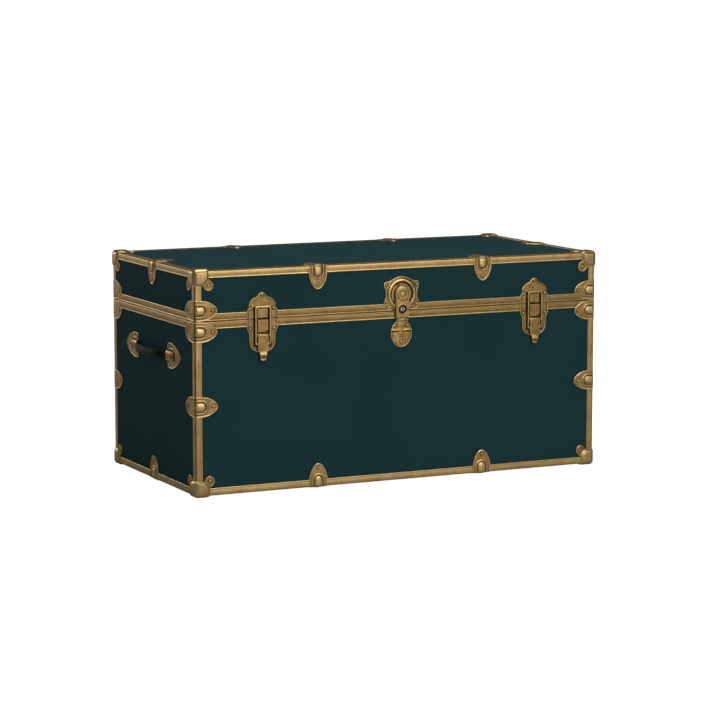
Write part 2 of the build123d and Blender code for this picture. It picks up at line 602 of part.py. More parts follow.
stampings["lock_shield_plate"] = [shield_plate()]
stampings["lock_lower_plate"] = [lower_plate()]
save("lock_hinge_pin", rod_x(PIN_R, -13.8, 13.8, front(HASP_OUT), HASP_Z))
save("lock_hasp", hasp_solid())
save("lock_key_cylinder", rod_y(6.5, front(2.8), front(5.9), 0, KEY_Z)
     - block(-1.1, 1.1, front(4.0), front(6.5), KEY_Z - 4.2, KEY_Z + 4.2))
for s in SIDES:
    nail(lid_nails, "-y", s * 34.8, front(PLATE_T), 405.4)
    nail(lid_nails, "-y", s * 34.6, front(PLATE_T), 364.6)
    nail(body_nails, "-y", s * 13.4, front(PLATE_T), 321.0)
nail(body_nails, "-y", 0, front(PLATE_T), 288.0)

# ---------------------------------------------------------------- handles
HANDLE_Z = 270.0
HANDLE_OUT = 5.4     # centre of the strap's ends, out of the covering
HANDLE_T = 1.6       # cap's base plate
POCKET_OUT, POCKET_Y = 10.0, 82.5    # pocket's outer face, and its open end
STRAP_HALF_T, STRAP_HALF_W = 2.1, 9.5
# cap outline: y, half height
HANDLE_OUTLINE = [
    (82.0, 13.6), (84.0, 21.0), (88.4, 25.6), (93.0, 26.6), (98.0, 26.8), (105.0, 26.0),
    (112.5, 24.4), (120.0, 22.1), (127.6, 19.0), (135.2, 14.9), (142.4, 9.8), (147.6, 4.8),
    (149.8, 0.0)]
# centre line of the strap's bow: y, distance out of the covering
STRAP_BOW = [(-79.5, 6.4), (-66.0, 10.6), (-48.0, 14.2), (-25.0, 16.2), (0.0, 16.8),
             (25.0, 16.2), (48.0, 14.2), (66.0, 10.6), (79.5, 6.4)]


def handle_cap(sy):
    """Pointed cap with a pocket for the strap's end, on the -X side; sy picks the end."""
    wall, z = -COVER_X, HANDLE_Z
    base = leaf_prism([Vector(wall, sy * y, z + half) for y, half in HANDLE_OUTLINE],
                      [Vector(wall, sy * y, z - half) for y, half in HANDLE_OUTLINE],
                      Vector(-HANDLE_T, 0, 0))
    face, mouth = wall - POCKET_OUT, sy * POCKET_Y
    pocket = block(wall - 0.5, face, mouth, sy * 119.0, z - 13.2, z + 13.2)
    rounded = [e for e in edges_at(pocket, x=face) if abs(e.center().Y - mouth) > 0.5]
    pocket = fillet(rounded, 4.0)
    cavity = block(wall - 1.62, wall - 9.0, sy * 80.0, sy * 114.0, z - 11.9, z + 11.9)
    return (base + pocket) - cavity


def strap_solid():
    """Bowed leather strap with narrower ends in the pockets, on the -X side."""
    bottom = HANDLE_Z - STRAP_HALF_W
    outer = [Vector(-COVER_X - out - STRAP_HALF_T, y, bottom) for y, out in STRAP_BOW]
    inner = [Vector(-COVER_X - out + STRAP_HALF_T, y, bottom) for y, out in STRAP_BOW]
    face = Face(Wire([Edge.make_spline(outer), Edge.make_spline(inner),
                      Edge.make_line(outer[0], inner[0]), Edge.make_line(outer[-1], inner[-1])]))
    grip = Solid.extrude(face, Vector(0, 0, 2 * STRAP_HALF_W))
    x_end = -COVER_X - HANDLE_OUT
    front_end, back_end = [block(x_end - 1.9, x_end + 1.9, s * 78.0, s * 110.0,
                                 HANDLE_Z - 4.0, HANDLE_Z + 4.0) for s in SIDES]
    return grip + (front_end + back_end)


handle_caps = [handle_cap(s) for s in SIDES]
stampings["handle_caps_left"] = handle_caps
stampings["handle_caps_right"] = [cap.mirror(Plane.YZ) for cap in handle_caps]
strap = strap_solid()
save("handle_strap_left", strap)
save("handle_strap_right", strap.mirror(Plane.YZ))
for sy in SIDES:
    for sx, aim in ((-1, "-x"), (1, "+x")):
        for y, dz in ((88.5, 19.0), (88.5, -19.0), (131.0, 0.0)):
            nail(body_nails, aim, sx * (COVER_X + HANDLE_T), sy * y, HANDLE_Z + dz)

# ---------------------------------------------------------------- back hinges
HINGE_Y, HINGE_Z, HINGE_R = TRIM_Y + 5.25, SEAM, 4.75   # lid hinge axis and barrel
HINGE_X = (-290.0, 0.0, 290.0)
HINGE_HALF = 30.0    # half the width
HINGE_PIN_R = 2.0
KNUCKLES = 5
LEAF_T = 1.5
LEAF_REACH = 34.0    # leaf's far edge, from the seam


def hinge_leaf(x, lid):
    """Leaf with the odd knuckles on the lid and the even ones on the body."""
    up = 1 if lid else -1
    far = SEAM + up * LEAF_REACH
    leaf = block(x - HINGE_HALF, x + HINGE_HALF, COVER_Y, TRIM_Y + LEAF_T, SEAM + up * 6.0, far)
    leaf = fillet(edges_at(leaf, Axis.Y, z=far), 6.0)
    step = 2 * HINGE_HALF / KNUCKLES
    for k in range(KNUCKLES):
        if (k % 2 == 1) == lid:
            x0 = x - HINGE_HALF + k * step + 0.15
            x1 = x - HINGE_HALF + (k + 1) * step - 0.15
            leaf += rod_x(HINGE_R, x0, x1, HINGE_Y, HINGE_Z)
            leaf += block(x0, x1, TRIM_Y + 0.2, TRIM_Y + 3.4, SEAM, SEAM + up * 6.5)
    leaf = leaf - rod_x(HINGE_PIN_R + 0.05, x - 40, x + 40, HINGE_Y, HINGE_Z)
    return over(leaf)


def hinge_pin(x):
    """Pin with a flat head at each end."""
    x0, x1 = x - HINGE_HALF, x + HINGE_HALF
    return (rod_x(HINGE_PIN_R, x0 + 0.2, x1 - 0.2, HINGE_Y, HINGE_Z)
            + rod_x(HINGE_R - 1.0, x0 - 1.4, x0, HINGE_Y, HINGE_Z)
            + rod_x(HINGE_R - 1.0, x1, x1 + 1.4, HINGE_Y, HINGE_Z)
            + rod_x(HINGE_PIN_R, x0 - 0.1, x1 + 0.1, HINGE_Y, HINGE_Z))


stampings["hinge_body_leaves"] = [hinge_leaf(x, False) for x in HINGE_X]
stampings["hinge_lid_leaves"] = [hinge_leaf(x, True) for x in HINGE_X]
save("hinge_pins", [hinge_pin(x) for x in HINGE_X])
for x in HINGE_X:
    for dx in (-20.0, 0.0, 20.0):
        nail(lid_nails, "+y", x + dx, TRIM_Y + LEAF_T, SEAM + 24.0)
        nail(body_nails, "+y", x + dx, TRIM_Y + LEAF_T, SEAM - 24.0)

# every nail is placed by now
for name, things in stampings.items():
    save(name, drilled(things))
save("lid_nails", lid_nails)
save("body_nails", body_nails)

# ---------------------------------------------------------------- lid stays, inside, each side
STAY_BODY = (111.25, 310.0)          # pivot on the body: y, z
STAY_LID = (131.25, 392.0)           # pivot on the lid
# elbow: the arms copy the hinge's own parallelogram
STAY_ELBOW = (STAY_BODY[0] + STAY_LID[0] - HINGE_Y, STAY_BODY[1] + STAY_LID[1] - HINGE_Z)
LOWER_ARM_X = (437.0, 435.0)         # arm faces, from the wall inwards
UPPER_ARM_X = (434.7, 432.7)
ARM_R = 7.5                          # half width and round ends
STUD_R, STUD_HEAD_R = 3.0, 5.5
ARM_HOLE_R = STUD_R + 0.08


def arm(side, start, end, faces, end_hole):
    """Flat arm with round ends between two pivots, holed at the start and perhaps the end."""
    x0, x1 = sorted(side * x for x in faces)
    dy, dz = end[0] - start[0], end[1] - start[1]
    length = math.hypot(dy, dz)
    bar = (block(x0, x1, 0, length, -ARM_R, ARM_R) + rod_x(ARM_R, x0, x1, 0, 0)
           + rod_x(ARM_R, x0, x1, length, 0))
    bar = bar - rod_x(ARM_HOLE_R, x0 - 1, x1 + 1, 0, 0)
    if end_hole:
        bar = bar - rod_x(ARM_HOLE_R, x0 - 1, x1 + 1, length, 0)
    return Pos(0, *start) * (Rot(math.degrees(math.atan2(dz, dy)), 0, 0) * bar)


def pivot_plate(s, pivot, faces):
    """Small screwed plate with a shouldered, headed stud that carries an arm."""
    y, z = pivot
    near, far = faces
    plate = block(s * INNER_X, s * (INNER_X - 1.5), y - 22, y + 22, z - 9, z + 9)
    plate = fillet(plate.edges().filter_by(Axis.X), 6.0)
    root = s * (INNER_X - 1.0)
    post = (rod_x(6.0, root, s * (near + 0.25), y, z)
            + rod_x(STUD_R, root, s * (far - 0.2), y, z))
    head = rod_x(STUD_HEAD_R, s * (far - 0.2), s * (far - 1.8), y, z)
    stud = rod_x(STUD_R, s * (near + 1), s * (far - 1.0), y, z)
    screw0, screw1 = s * (INNER_X - 1.4), s * (INNER_X - 2.3)
    screws = rod_x(2.8, screw0, screw1, y - 15, z) + rod_x(2.8, screw0, screw1, y + 15, z)
    return plate + post + stud + head + screws


for tag, s in (("left", -1), ("right", 1)):
    elbow = (rod_x(STUD_R, s * 435.5, s * 431.4, *STAY_ELBOW)
             + rod_x(STUD_HEAD_R, s * 432.2, s * 430.4, *STAY_ELBOW))
    save(f"stay_lower_arm_{tag}", arm(s, STAY_BODY, STAY_ELBOW, LOWER_ARM_X, False) + elbow)
    save(f"stay_upper_arm_{tag}", arm(s, STAY_LID, STAY_ELBOW, UPPER_ARM_X, True))
save("stay_body_brackets", [pivot_plate(s, STAY_BODY, LOWER_ARM_X) for s in SIDES])
save("stay_lid_brackets", [pivot_plate(s, STAY_LID, UPPER_ARM_X) for s in SIDES])
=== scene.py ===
import bpy
import bmesh
import json
import math
import numpy as np
from mathutils import Vector, Matrix


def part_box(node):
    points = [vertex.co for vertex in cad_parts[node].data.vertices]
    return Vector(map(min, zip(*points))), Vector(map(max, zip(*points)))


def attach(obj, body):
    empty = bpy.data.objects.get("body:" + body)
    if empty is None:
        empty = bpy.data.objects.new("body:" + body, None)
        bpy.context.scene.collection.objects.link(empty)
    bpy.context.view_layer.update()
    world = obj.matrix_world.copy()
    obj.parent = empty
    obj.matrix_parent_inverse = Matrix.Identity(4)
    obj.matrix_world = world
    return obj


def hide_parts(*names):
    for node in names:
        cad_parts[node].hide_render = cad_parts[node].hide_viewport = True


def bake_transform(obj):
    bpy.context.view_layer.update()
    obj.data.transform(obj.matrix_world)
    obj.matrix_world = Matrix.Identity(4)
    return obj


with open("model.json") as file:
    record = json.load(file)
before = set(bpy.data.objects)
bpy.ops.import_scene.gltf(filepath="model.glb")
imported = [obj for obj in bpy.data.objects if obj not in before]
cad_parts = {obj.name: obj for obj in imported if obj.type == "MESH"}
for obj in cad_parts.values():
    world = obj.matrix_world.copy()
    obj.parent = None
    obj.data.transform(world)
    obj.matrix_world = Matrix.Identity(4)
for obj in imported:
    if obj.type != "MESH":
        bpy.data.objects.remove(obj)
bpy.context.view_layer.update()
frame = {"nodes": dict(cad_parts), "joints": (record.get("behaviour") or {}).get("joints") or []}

nodes = frame["nodes"]
joints = {j["name"]: j for j in frame["joints"]}


# ------------------------------------------------------------------ sizes read from the frame, in millimetres
def box_mm(name):
    lo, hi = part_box(name)
    return [v * 1000 for v in lo], [v * 1000 for v in hi]


def pivot(name):
    return [v * 1000 for v in joints[name]["pos_m"]]


XO = box_mm("lid_top_trim_sides")[1][0]
YO = box_mm("lid_top_trim_front_back")[1][1]
ZT = box_mm("lid_top_trim_sides")[1][2]
Z0 = box_mm("bottom_trim_sides")[0][2]
XC = box_mm("body_covering")[1][0]
YC = box_mm("body_covering")[1][1]
XI = box_mm("body_right_panel")[0][0]
YI = box_mm("body_back_panel")[0][1]
ZC0 = box_mm("body_covering")[0][2]
ZCT = box_mm("lid_covering")[1][2]
LID_BOT = box_mm("lid_rim_trim_front")[0][2]
PLY_TOP = box_mm("body_front_panel")[1][2]
SEAM = pivot("lid_hinge")[2]
BODY_TOP = 2 * SEAM - LID_BOT
PROUD = Z0
BOLT_X = pivot("drawbolt_right_lever")[0]
LEVER = pivot("drawbolt_right_lever")
LINK = pivot("drawbolt_right_link")
HASP = pivot("hasp_hinge")
CYL = pivot("key_cylinder_turn")
GRIP = pivot("handle_left_swing")
TRIM_END = box_mm("lid_top_trim_front_back")[1][0]
LEG = 14.5


def out_of(y):
    """How far a front point stands out of the trim plane."""
    return -y - YO


# ------------------------------------------------------------------ mesh building
class Geo:
    """Collects closed shells; every vertex carries how bright-worn and how dirt-filled it is, and in places a painted
    highlight or painted shade that rides on the same two values.
    """

    def __init__(self):
        self.v, self.f, self.w, self.d, self.n = [], [], [], [], 0

    def add(self, verts, faces, wear_and_highlight=0.0, dirt_and_shade=0.0):
        verts = np.asarray(verts, float).reshape(-1, 3)
        k = len(verts)
        self.v.append(verts)
        self.w.append(np.broadcast_to(np.asarray(wear_and_highlight, float).ravel() if np.ndim(wear_and_highlight) else wear_and_highlight, (k,)).copy())
        self.d.append(np.broadcast_to(np.asarray(dirt_and_shade, float).ravel() if np.ndim(dirt_and_shade) else dirt_and_shade, (k,)).copy())
        self.f += [tuple(int(i) + self.n for i in f) for f in faces]
        self.n += k

    def grid(self, top, bottom, wear_and_highlight=0.0, dirt_and_shade=0.0):
        """Closed solid between two (rows, columns, 3) grids."""
        r, c = top.shape[:2]
        i, j = np.meshgrid(np.arange(r - 1), np.arange(c - 1), indexing="ij")
        a = (i * c + j).ravel()
        q = np.stack([a, a + 1, a + c + 1, a + c], 1)
        o = r * c
        faces = [q, q[:, ::-1] + o]
        for ring, flip in ((np.arange(c), False), ((r - 1) * c + np.arange(c), True), (np.arange(r) * c, True), (np.arange(r) * c + c - 1, False)):
            s, e = ring[:-1], ring[1:]
            w = np.stack([s, s + o, e + o, e], 1)
            faces.append(w[:, ::-1] if flip else w)
        wear_and_highlight_all = np.concatenate([np.broadcast_to(wear_and_highlight, (r, c)).ravel(), np.zeros(o)])
        dirt_and_shade_all = np.concatenate([np.broadcast_to(dirt_and_shade, (r, c)).ravel(), np.zeros(o)])
        self.add(np.concatenate([top.reshape(-1, 3), bottom.reshape(-1, 3)]), np.concatenate(faces), wear_and_highlight_all, dirt_and_shade_all)

    def copy_mapped(self, fn):
        """The same shells with their points moved by fn."""
        g = Geo()
        g.v = [fn(v) for v in self.v]
        g.f, g.w, g.d, g.n = list(self.f), list(self.w), list(self.d), self.n
        return g

    def merge(self, other):
        for v, w, d in zip(other.v, other.w, other.d):
            self.v.append(v)
            self.w.append(w)
            self.d.append(d)
        self.f += [tuple(i + self.n for i in f) for f in other.f]
        self.n += other.n


def make(name, geo, body, material, replaces=(), sharp=38.0, bevel=0.0, weld=0.002):
    """A Blender object, in metres, from a Geo in millimetres, riding on a body."""
    mesh = bpy.data.meshes.new(name)
    mesh.from_pydata((np.concatenate(geo.v) * 0.001).tolist(), [], geo.f)
    for key, values in (("wear_and_highlight", geo.w), ("dirt_and_shade", geo.d)):
        layer = mesh.attributes.new(key, "FLOAT", "POINT")
        layer.data.foreach_set("value", np.clip(np.concatenate(values), 0, 1).astype(np.float32))
    bm = bmesh.new()
    bm.from_mesh(mesh)
    bmesh.ops.remove_doubles(bm, verts=bm.verts, dist=weld * 0.001)
    bmesh.ops.dissolve_degenerate(bm, edges=bm.edges, dist=1e-7)
    bmesh.ops.recalc_face_normals(bm, faces=bm.faces)
    bm.to_mesh(mesh)
    bm.free()
    obj = bpy.data.objects.new(name, mesh)
    bpy.context.scene.collection.objects.link(obj)
    mesh.polygons.foreach_set("use_smooth", [True] * len(mesh.polygons))
    mesh.set_sharp_from_angle(angle=math.radians(sharp))
    mesh.materials.append(material)
    if bevel:
        m = obj.modifiers.new("bevel", "BEVEL")
        m.width, m.segments, m.limit_method, m.angle_limit = bevel * 0.001, 3, "ANGLE", math.radians(40)
    if body:
        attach(obj, body)
    if replaces:
        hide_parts(*replaces)
    return obj


def spline(points, step, mirror_start=False, mirror_end=False):
    """Natural cubic through the points by chord length, resampled at about step. An end on the axis can be mirrored, so that it comes out round."""
    p = np.array(points, float)
    n0 = 0
    if mirror_start:
        m = p[1:4][::-1] * [-1, 1]
        p = np.vstack([m, p])
        n0 = len(m)
    n1 = len(p) - 1
    if mirror_end:
        m = p[-4:-1][::-1] * [-1, 1]
        n1 = len(p) - 1
        p = np.vstack([p, m])
    t = np.concatenate([[0], np.cumsum(np.sqrt(np.linalg.norm(np.diff(p, axis=0), axis=1)))])
    n = len(p)
    a = np.zeros((n, n))
    b = np.zeros((n, 2))
    h = np.diff(t)
    a[0, 0] = a[-1, -1] = 1
    for i in range(1, n - 1):
        a[i, i - 1], a[i, i], a[i, i + 1] = h[i - 1], 2 * (h[i - 1] + h[i]), h[i]
        b[i] = 6 * ((p[i + 1] - p[i]) / h[i] - (p[i] - p[i - 1]) / h[i - 1])
    m = np.linalg.solve(a, b)
    ts = np.linspace(t[n0], t[n1], 1500)
    k = np.clip(np.searchsorted(t, ts, "right") - 1, 0, n - 2)
    d, hk = (ts - t[k])[:, None], h[k][:, None]
    q = (p[k] + d * ((p[k + 1] - p[k]) / hk - hk * (2 * m[k] + m[k + 1]) / 6) + d ** 2 * m[k] / 2 + d ** 3 * (m[k + 1] - m[k]) / (6 * hk))
    s = np.concatenate([[0], np.cumsum(np.linalg.norm(np.diff(q, axis=0), axis=1))])
    count = max(8, int(math.ceil(s[-1] / step)) + 1)
    at = np.linspace(0, s[-1], count)
    return np.stack([np.interp(at, s, q[:, 0]), np.interp(at, s, q[:, 1])], 1)


def edge_distance(x, z, outline):
    """Distance of each point to a closed outline."""
    a = outline
    b = np.roll(outline, -1, axis=0)
    pts = np.stack([x.ravel(), z.ravel()], 1)
    best = np.full(len(pts), 1e9)
    ab = b - a
    l2 = np.maximum((ab ** 2).sum(1), 1e-12)
    for s in range(0, len(pts), 4000):
        p = pts[s:s + 4000, None, :]
        t = np.clip(((p - a) * ab).sum(2) / l2, 0, 1)
        best[s:s + 4000] = np.sqrt((((a + t[..., None] * ab) - p) ** 2).sum(2)).min(1)
    return best.reshape(x.shape)


def side_distance(x, z, outline):
    """Distance of each point to the two long edges of a plate, leaving out any flat end."""
    best = None
    pts = np.stack([x.ravel(), z.ravel()], 1)
    for line in (outline, outline * [-1, 1]):
        a, b = line[:-1], line[1:]
        ab = b - a
        l2 = np.maximum((ab ** 2).sum(1), 1e-12)
        out = np.empty(len(pts))
        for s in range(0, len(pts), 4000):
            p = pts[s:s + 4000, None, :]
            t = np.clip(((p - a) * ab).sum(2) / l2, 0, 1)
            out[s:s + 4000] = np.sqrt((((a + t[..., None] * ab) - p) ** 2).sum(2)).min(1)
        best = out if best is None else np.minimum(best, out)
    return best.reshape(x.shape)


def bell(d, at, width):
    return np.exp(-((d - at) / width) ** 2)


def step_up(v, a, b):
    t = np.clip((v - a) / (b - a), 0, 1)
    return t * t * (3 - 2 * t)


def rounded(d, r):
    """0 at an edge, 1 from r inwards, as a quarter round."""
    return np.sqrt(np.clip(1 - (1 - np.clip(d / r, 0, 1)) ** 2, 0, 1))


def stamp(geo, outline, place, top, base, step=0.85, flat_ends=(False, False), wear_and_highlight=None, dirt_and_shade=None, edge_r=1.1, end_r=None):
    """A pressed plate. outline is the right-hand edge (half width, z) from one end to the other; place carries (x, z, height) to space."""
    rows = outline
    if step < 5:
        extra = []
        for k, end in ((0, flat_ends[0]), (-1, flat_ends[1])):
            if end:
                a, b = rows[k], rows[1 if k == 0 else -2]
                for t in (0.3, 0.6, 1.0, 1.5):
                    if t < np.linalg.norm(b - a) * 0.98:
                        extra.append((k, a + (b - a) * t / np.linalg.norm(b - a)))
        head = [e for k, e in extra if k == 0]
        tail = [e for k, e in extra if k == -1][::-1]
        rows = np.vstack([rows[:1]] + ([np.array(head)] if head else []) + [rows[1:-1]] + ([np.array(tail)] if tail else []) + [rows[-1:]])
    w, z = rows[:, 0], rows[:, 1]
    wmax = w.max()
    inner = max(5, int(math.ceil(2 * wmax / step)))
    u = np.linspace(-1, 1, inner)
    edge = np.array([0.25, 0.55, 0.9, 1.35]) / wmax
    u = np.unique(np.round(np.concatenate([u[(np.abs(u) < 1 - 1.5 / wmax)], 1 - edge, -1 + edge, [-1, 1]]), 6))
    x = w[:, None] * u[None, :]
    zz = np.broadcast_to(z[:, None], x.shape)
    d = side_distance(x, zz, outline)
    h = top(x, zz, d)
    b = base(x, zz, d) if callable(base) else np.full(x.shape, float(base))
    r = rounded(d, edge_r)
    for k, end in ((0, flat_ends[0]), (-1, flat_ends[1])):
        if end:
            r = np.minimum(r, rounded(np.abs(zz - outline[k, 1]), end_r or edge_r))
    h = b + (h - b) * (0.45 + 0.55 * r)
    geo.grid(place(x, zz, h), place(x, zz, b),
             wear_and_highlight(x, zz, d, h) if wear_and_highlight else bell(d, 0.7, 0.8) * 0.8,
             dirt_and_shade(x, zz, d, h) if dirt_and_shade else 0.0)


def stack3(x, y, z):
    return np.stack([x + 0 * z, y + 0 * z, z + 0 * x], -1)


def front(xc):
    return lambda x, z, h: np.stack([xc + x, -(YO + h), z], -1)


def lathe(geo, profile, place, seg=24, wear_and_highlight=0.0, dirt_and_shade=0.0):
    """Closed solid of revolution from a profile of (radius, height) that starts and ends on the axis."""
    prof = np.array(profile, float)
    a = np.linspace(0, 2 * math.pi, seg, endpoint=False)
    x = prof[1:-1, 0][:, None] * np.cos(a)
    y = prof[1:-1, 0][:, None] * np.sin(a)
    h = np.broadcast_to(prof[1:-1, 1][:, None], x.shape)
    pts = np.concatenate([place(x, y, h).reshape(-1, 3), place(np.zeros(1), np.zeros(1), prof[:1, 1]), place(np.zeros(1), np.zeros(1), prof[-1:, 1])])
    n = len(prof) - 2
    faces = []
    for i in range(n - 1):
        for j in range(seg):
            k = (j + 1) % seg
            faces.append((i * seg + j, i * seg + k, (i + 1) * seg + k, (i + 1) * seg + j))
    for j in range(seg):
        k = (j + 1) % seg
        faces.append((n * seg, j, k))
        faces.append((n * seg + 1, (n - 1) * seg + k, (n - 1) * seg + j))
    wv = np.asarray(wear_and_highlight, float)
    if wv.ndim:
        wv = np.concatenate([np.repeat(wv[1:-1], seg), wv[:1], wv[-1:]])
    dv = np.asarray(dirt_and_shade, float)
    if dv.ndim:
        dv = np.concatenate([np.repeat(dv[1:-1], seg), dv[:1], dv[-1:]])
    geo.add(pts, faces, wv if wv.ndim else float(wv), dv if dv.ndim else float(dv))


def rod(geo, r, x0, x1, y, z, seg=28, wear_and_highlight=0.15, round_end=0.3):
    """Round rod along X with softened ends."""
    e = round_end
    prof = [(0, 0), (r - e, 0), (r - e * 0.3, e * 0.3), (r, e), (r, abs(x1 - x0) - e), (r - e * 0.3, abs(x1 - x0) - e * 0.3), (r - e, abs(x1 - x0)), (0, abs(x1 - x0))]
    lo = min(x0, x1)
    lathe(geo, prof, lambda a, b, h: np.stack([lo + h, y + a, z + b], -1), seg, wear_and_highlight)


def prism(geo, poly, place, h0, h1, edge=0.35, wear_and_highlight=0.2, dirt_and_shade=0.0):
    """Extruded closed polygon with a small chamfer on both rims. place carries (a, b, h)."""
    p = np.array(poly, float)
    area = 0.5 * np.sum(p[:, 0] * np.roll(p[:, 1], -1) - np.roll(p[:, 0], -1) * p[:, 1])
    if area < 0:
        p = p[::-1]
    prev, nxt = np.roll(p, 1, 0), np.roll(p, -1, 0)
    d1, d2 = p - prev, nxt - p
    d1 /= np.maximum(np.linalg.norm(d1, axis=1, keepdims=True), 1e-9)
    d2 /= np.maximum(np.linalg.norm(d2, axis=1, keepdims=True), 1e-9)
    n1, n2 = np.stack([-d1[:, 1], d1[:, 0]], 1), np.stack([-d2[:, 1], d2[:, 0]], 1)
    m = n1 + n2
    m /= np.maximum(np.linalg.norm(m, axis=1, keepdims=True), 1e-9)
    m /= np.clip((m * n1).sum(1, keepdims=True), 0.4, 1)
    q = p + m * edge
    lo, hi = min(h0, h1), max(h0, h1)
    layers = [(q, lo), (p, lo + edge), (p, hi - edge), (q, hi)]
    n = len(p)
    pts = np.concatenate([place(a[:, 0], a[:, 1], np.full(n, h)) for a, h in layers])
    faces = []
    for k in range(3):
        for i in range(n):
            j = (i + 1) % n
            faces.append((k * n + i, k * n + j, (k + 1) * n + j, (k + 1) * n + i))
    faces.append(tuple(range(n))[::-1])
    faces.append(tuple(3 * n + i for i in range(n)))
    geo.add(pts, faces, wear_and_highlight, dirt_and_shade)


def bar(geo, profile, place, s0, s1, wear_and_highlight, cuts=(), dirt_and_shade=0.0):
    """A closed profile run from s0 to s1. wear is one value for each profile point."""
    prof = np.array(profile, float)
    n = len(prof)
    ss = [s0] + [s for s in cuts if s0 < s < s1] + [s1]
    pts = np.concatenate([place(prof[:, 0], prof[:, 1], np.full(n, float(s))) for s in ss])
    faces = []
    for k in range(len(ss) - 1):
        for i in range(n):
            j = (i + 1) % n
            faces.append((k * n + i, k * n + j, (k + 1) * n + j, (k + 1) * n + i))
    faces.append(tuple(range(n))[::-1])
    faces.append(tuple((len(ss) - 1) * n + i for i in range(n)))
    geo.add(pts, faces, np.tile(np.broadcast_to(wear_and_highlight, (n,)), len(ss)), np.tile(np.broadcast_to(dirt_and_shade, (n,)), len(ss)))


def sweep(geo, path, out_dir, section, wear_and_highlight=0.2):
    """A section of (side, out) points carried along a path of 3-D points, out_dir kept as near upright as the path allows."""
    path = np.array(path, float)
    t = np.gradient(path, axis=0)
    t /= np.linalg.norm(t, axis=1, keepdims=True)
    o = np.asarray(out_dir, float)
    o = o - (t @ o)[:, None] * t
    o /= np.linalg.norm(o, axis=1, keepdims=True)
    side = np.cross(t, o)
    sec = np.array(section, float)
    n = len(sec)
    pts = (path[:, None, :] + sec[None, :, :1] * side[:, None, :] + sec[None, :, 1:] * o[:, None, :]).reshape(-1, 3)
    faces = []
    for k in range(len(path) - 1):
        for i in range(n):
            j = (i + 1) % n
            faces.append((k * n + i, k * n + j, (k + 1) * n + j, (k + 1) * n + i))
    faces.append(tuple(range(n))[::-1])
    faces.append(tuple((len(path) - 1) * n + i for i in range(n)))
    geo.add(pts, faces, wear_and_highlight)


def soft_rect(hw, hh, r, seg=4):
    pts = []
    for cx, cy, a0 in ((hw - r, hh - r, 0), (-hw + r, hh - r, 90), (-hw + r, -hh + r, 180), (hw - r, -hh + r, 270)):
        for k in range(seg + 1):
            a = math.radians(a0 + 90 * k / seg)
            pts.append((cx + r * math.cos(a), cy + r * math.sin(a)))
    return pts


# ------------------------------------------------------------------ materials
def lin(r, g, b):
    return tuple(((c / 255) / 12.92 if c / 255 <= 0.04045 else ((c / 255 + 0.055) / 1.055) ** 2.4) for c in (r, g, b)) + (1.0,)


class Nodes:
    def __init__(self, name):
        self.mat = bpy.data.materials.new(name)
        self.mat.use_nodes = True
        self.t = self.mat.node_tree
        self.t.nodes.clear()
        self.out = self.t.nodes.new("ShaderNodeOutputMaterial")
        self.bsdf = self.t.nodes.new("ShaderNodeBsdfPrincipled")
        self.t.links.new(self.bsdf.outputs[0], self.out.inputs[0])
        self.coord = self.t.nodes.new("ShaderNodeTexCoord").outputs["Object"]

    def node(self, kind, **sets):
        n = self.t.nodes.new(kind)
        for k, v in sets.items():
            setattr(n, k, v)
        return n

    def link(self, a, b):
        self.t.links.new(a, b)

    def mapped(self, scale, rotation=(0, 0, 0)):
        m = self.node("ShaderNodeMapping")
        m.inputs["Scale"].default_value = scale
        m.inputs["Rotation"].default_value = rotation
        self.link(self.coord, m.inputs["Vector"])
        return m.outputs[0]

    def noise(self, vector, scale=1.0, detail=3.0, rough=0.5, distortion=0.0):
        n = self.node("ShaderNodeTexNoise")
        n.inputs["Scale"].default_value = scale
        n.inputs["Detail"].default_value = detail
        n.inputs["Roughness"].default_value = rough
        n.inputs["Distortion"].default_value = distortion
        self.link(vector, n.inputs["Vector"])
        return n.outputs["Fac"]

    def ramp(self, fac, *stops):
        r = self.node("ShaderNodeValToRGB")
        e = r.color_ramp.elements
        while len(e) < len(stops):
            e.new(0.5)
        for el, (pos, col) in zip(e, stops):
            el.position = pos
            el.color = col if len(col) == 4 else tuple(col) + (1.0,)
        self.link(fac, r.inputs[0])
        return r.outputs[0]

    def math(self, op, a, b=None, clamp=False):
        m = self.node("ShaderNodeMath", operation=op, use_clamp=clamp)
        for k, v in enumerate((a, b)):
            if v is None:
                continue
            if isinstance(v, (int, float)):
                m.inputs[k].default_value = v
            else:
                self.link(v, m.inputs[k])
        return m.outputs[0]

    def mix(self, fac, a, b, mode="MIX"):
        m = self.node("ShaderNodeMix", data_type="RGBA", blend_type=mode)
        for sock, v in ((m.inputs[0], fac), (m.inputs[6], a), (m.inputs[7], b)):
            if isinstance(v, (int, float, tuple)):
                sock.default_value = v
            else:
                self.link(v, sock)
        return m.outputs[2]

    def attr(self, name):
        a = self.node("ShaderNodeAttribute", attribute_name=name)
        return a.outputs["Fac"]

    def bump(self, height, strength, distance, chain=None):
        b = self.node("ShaderNodeBump")
        b.inputs["Strength"].default_value = strength
        b.inputs["Distance"].default_value = distance
        self.link(height, b.inputs["Height"])
        if chain is not None:
            self.link(chain, b.inputs["Normal"])
        return b.outputs[0]

    def set(self, **sockets):
        for k, v in sockets.items():
            s = self.bsdf.inputs[k.replace("_", " ")]
            if isinstance(v, (int, float, tuple)):
                s.default_value = v
            else:
                self.link(v, s)


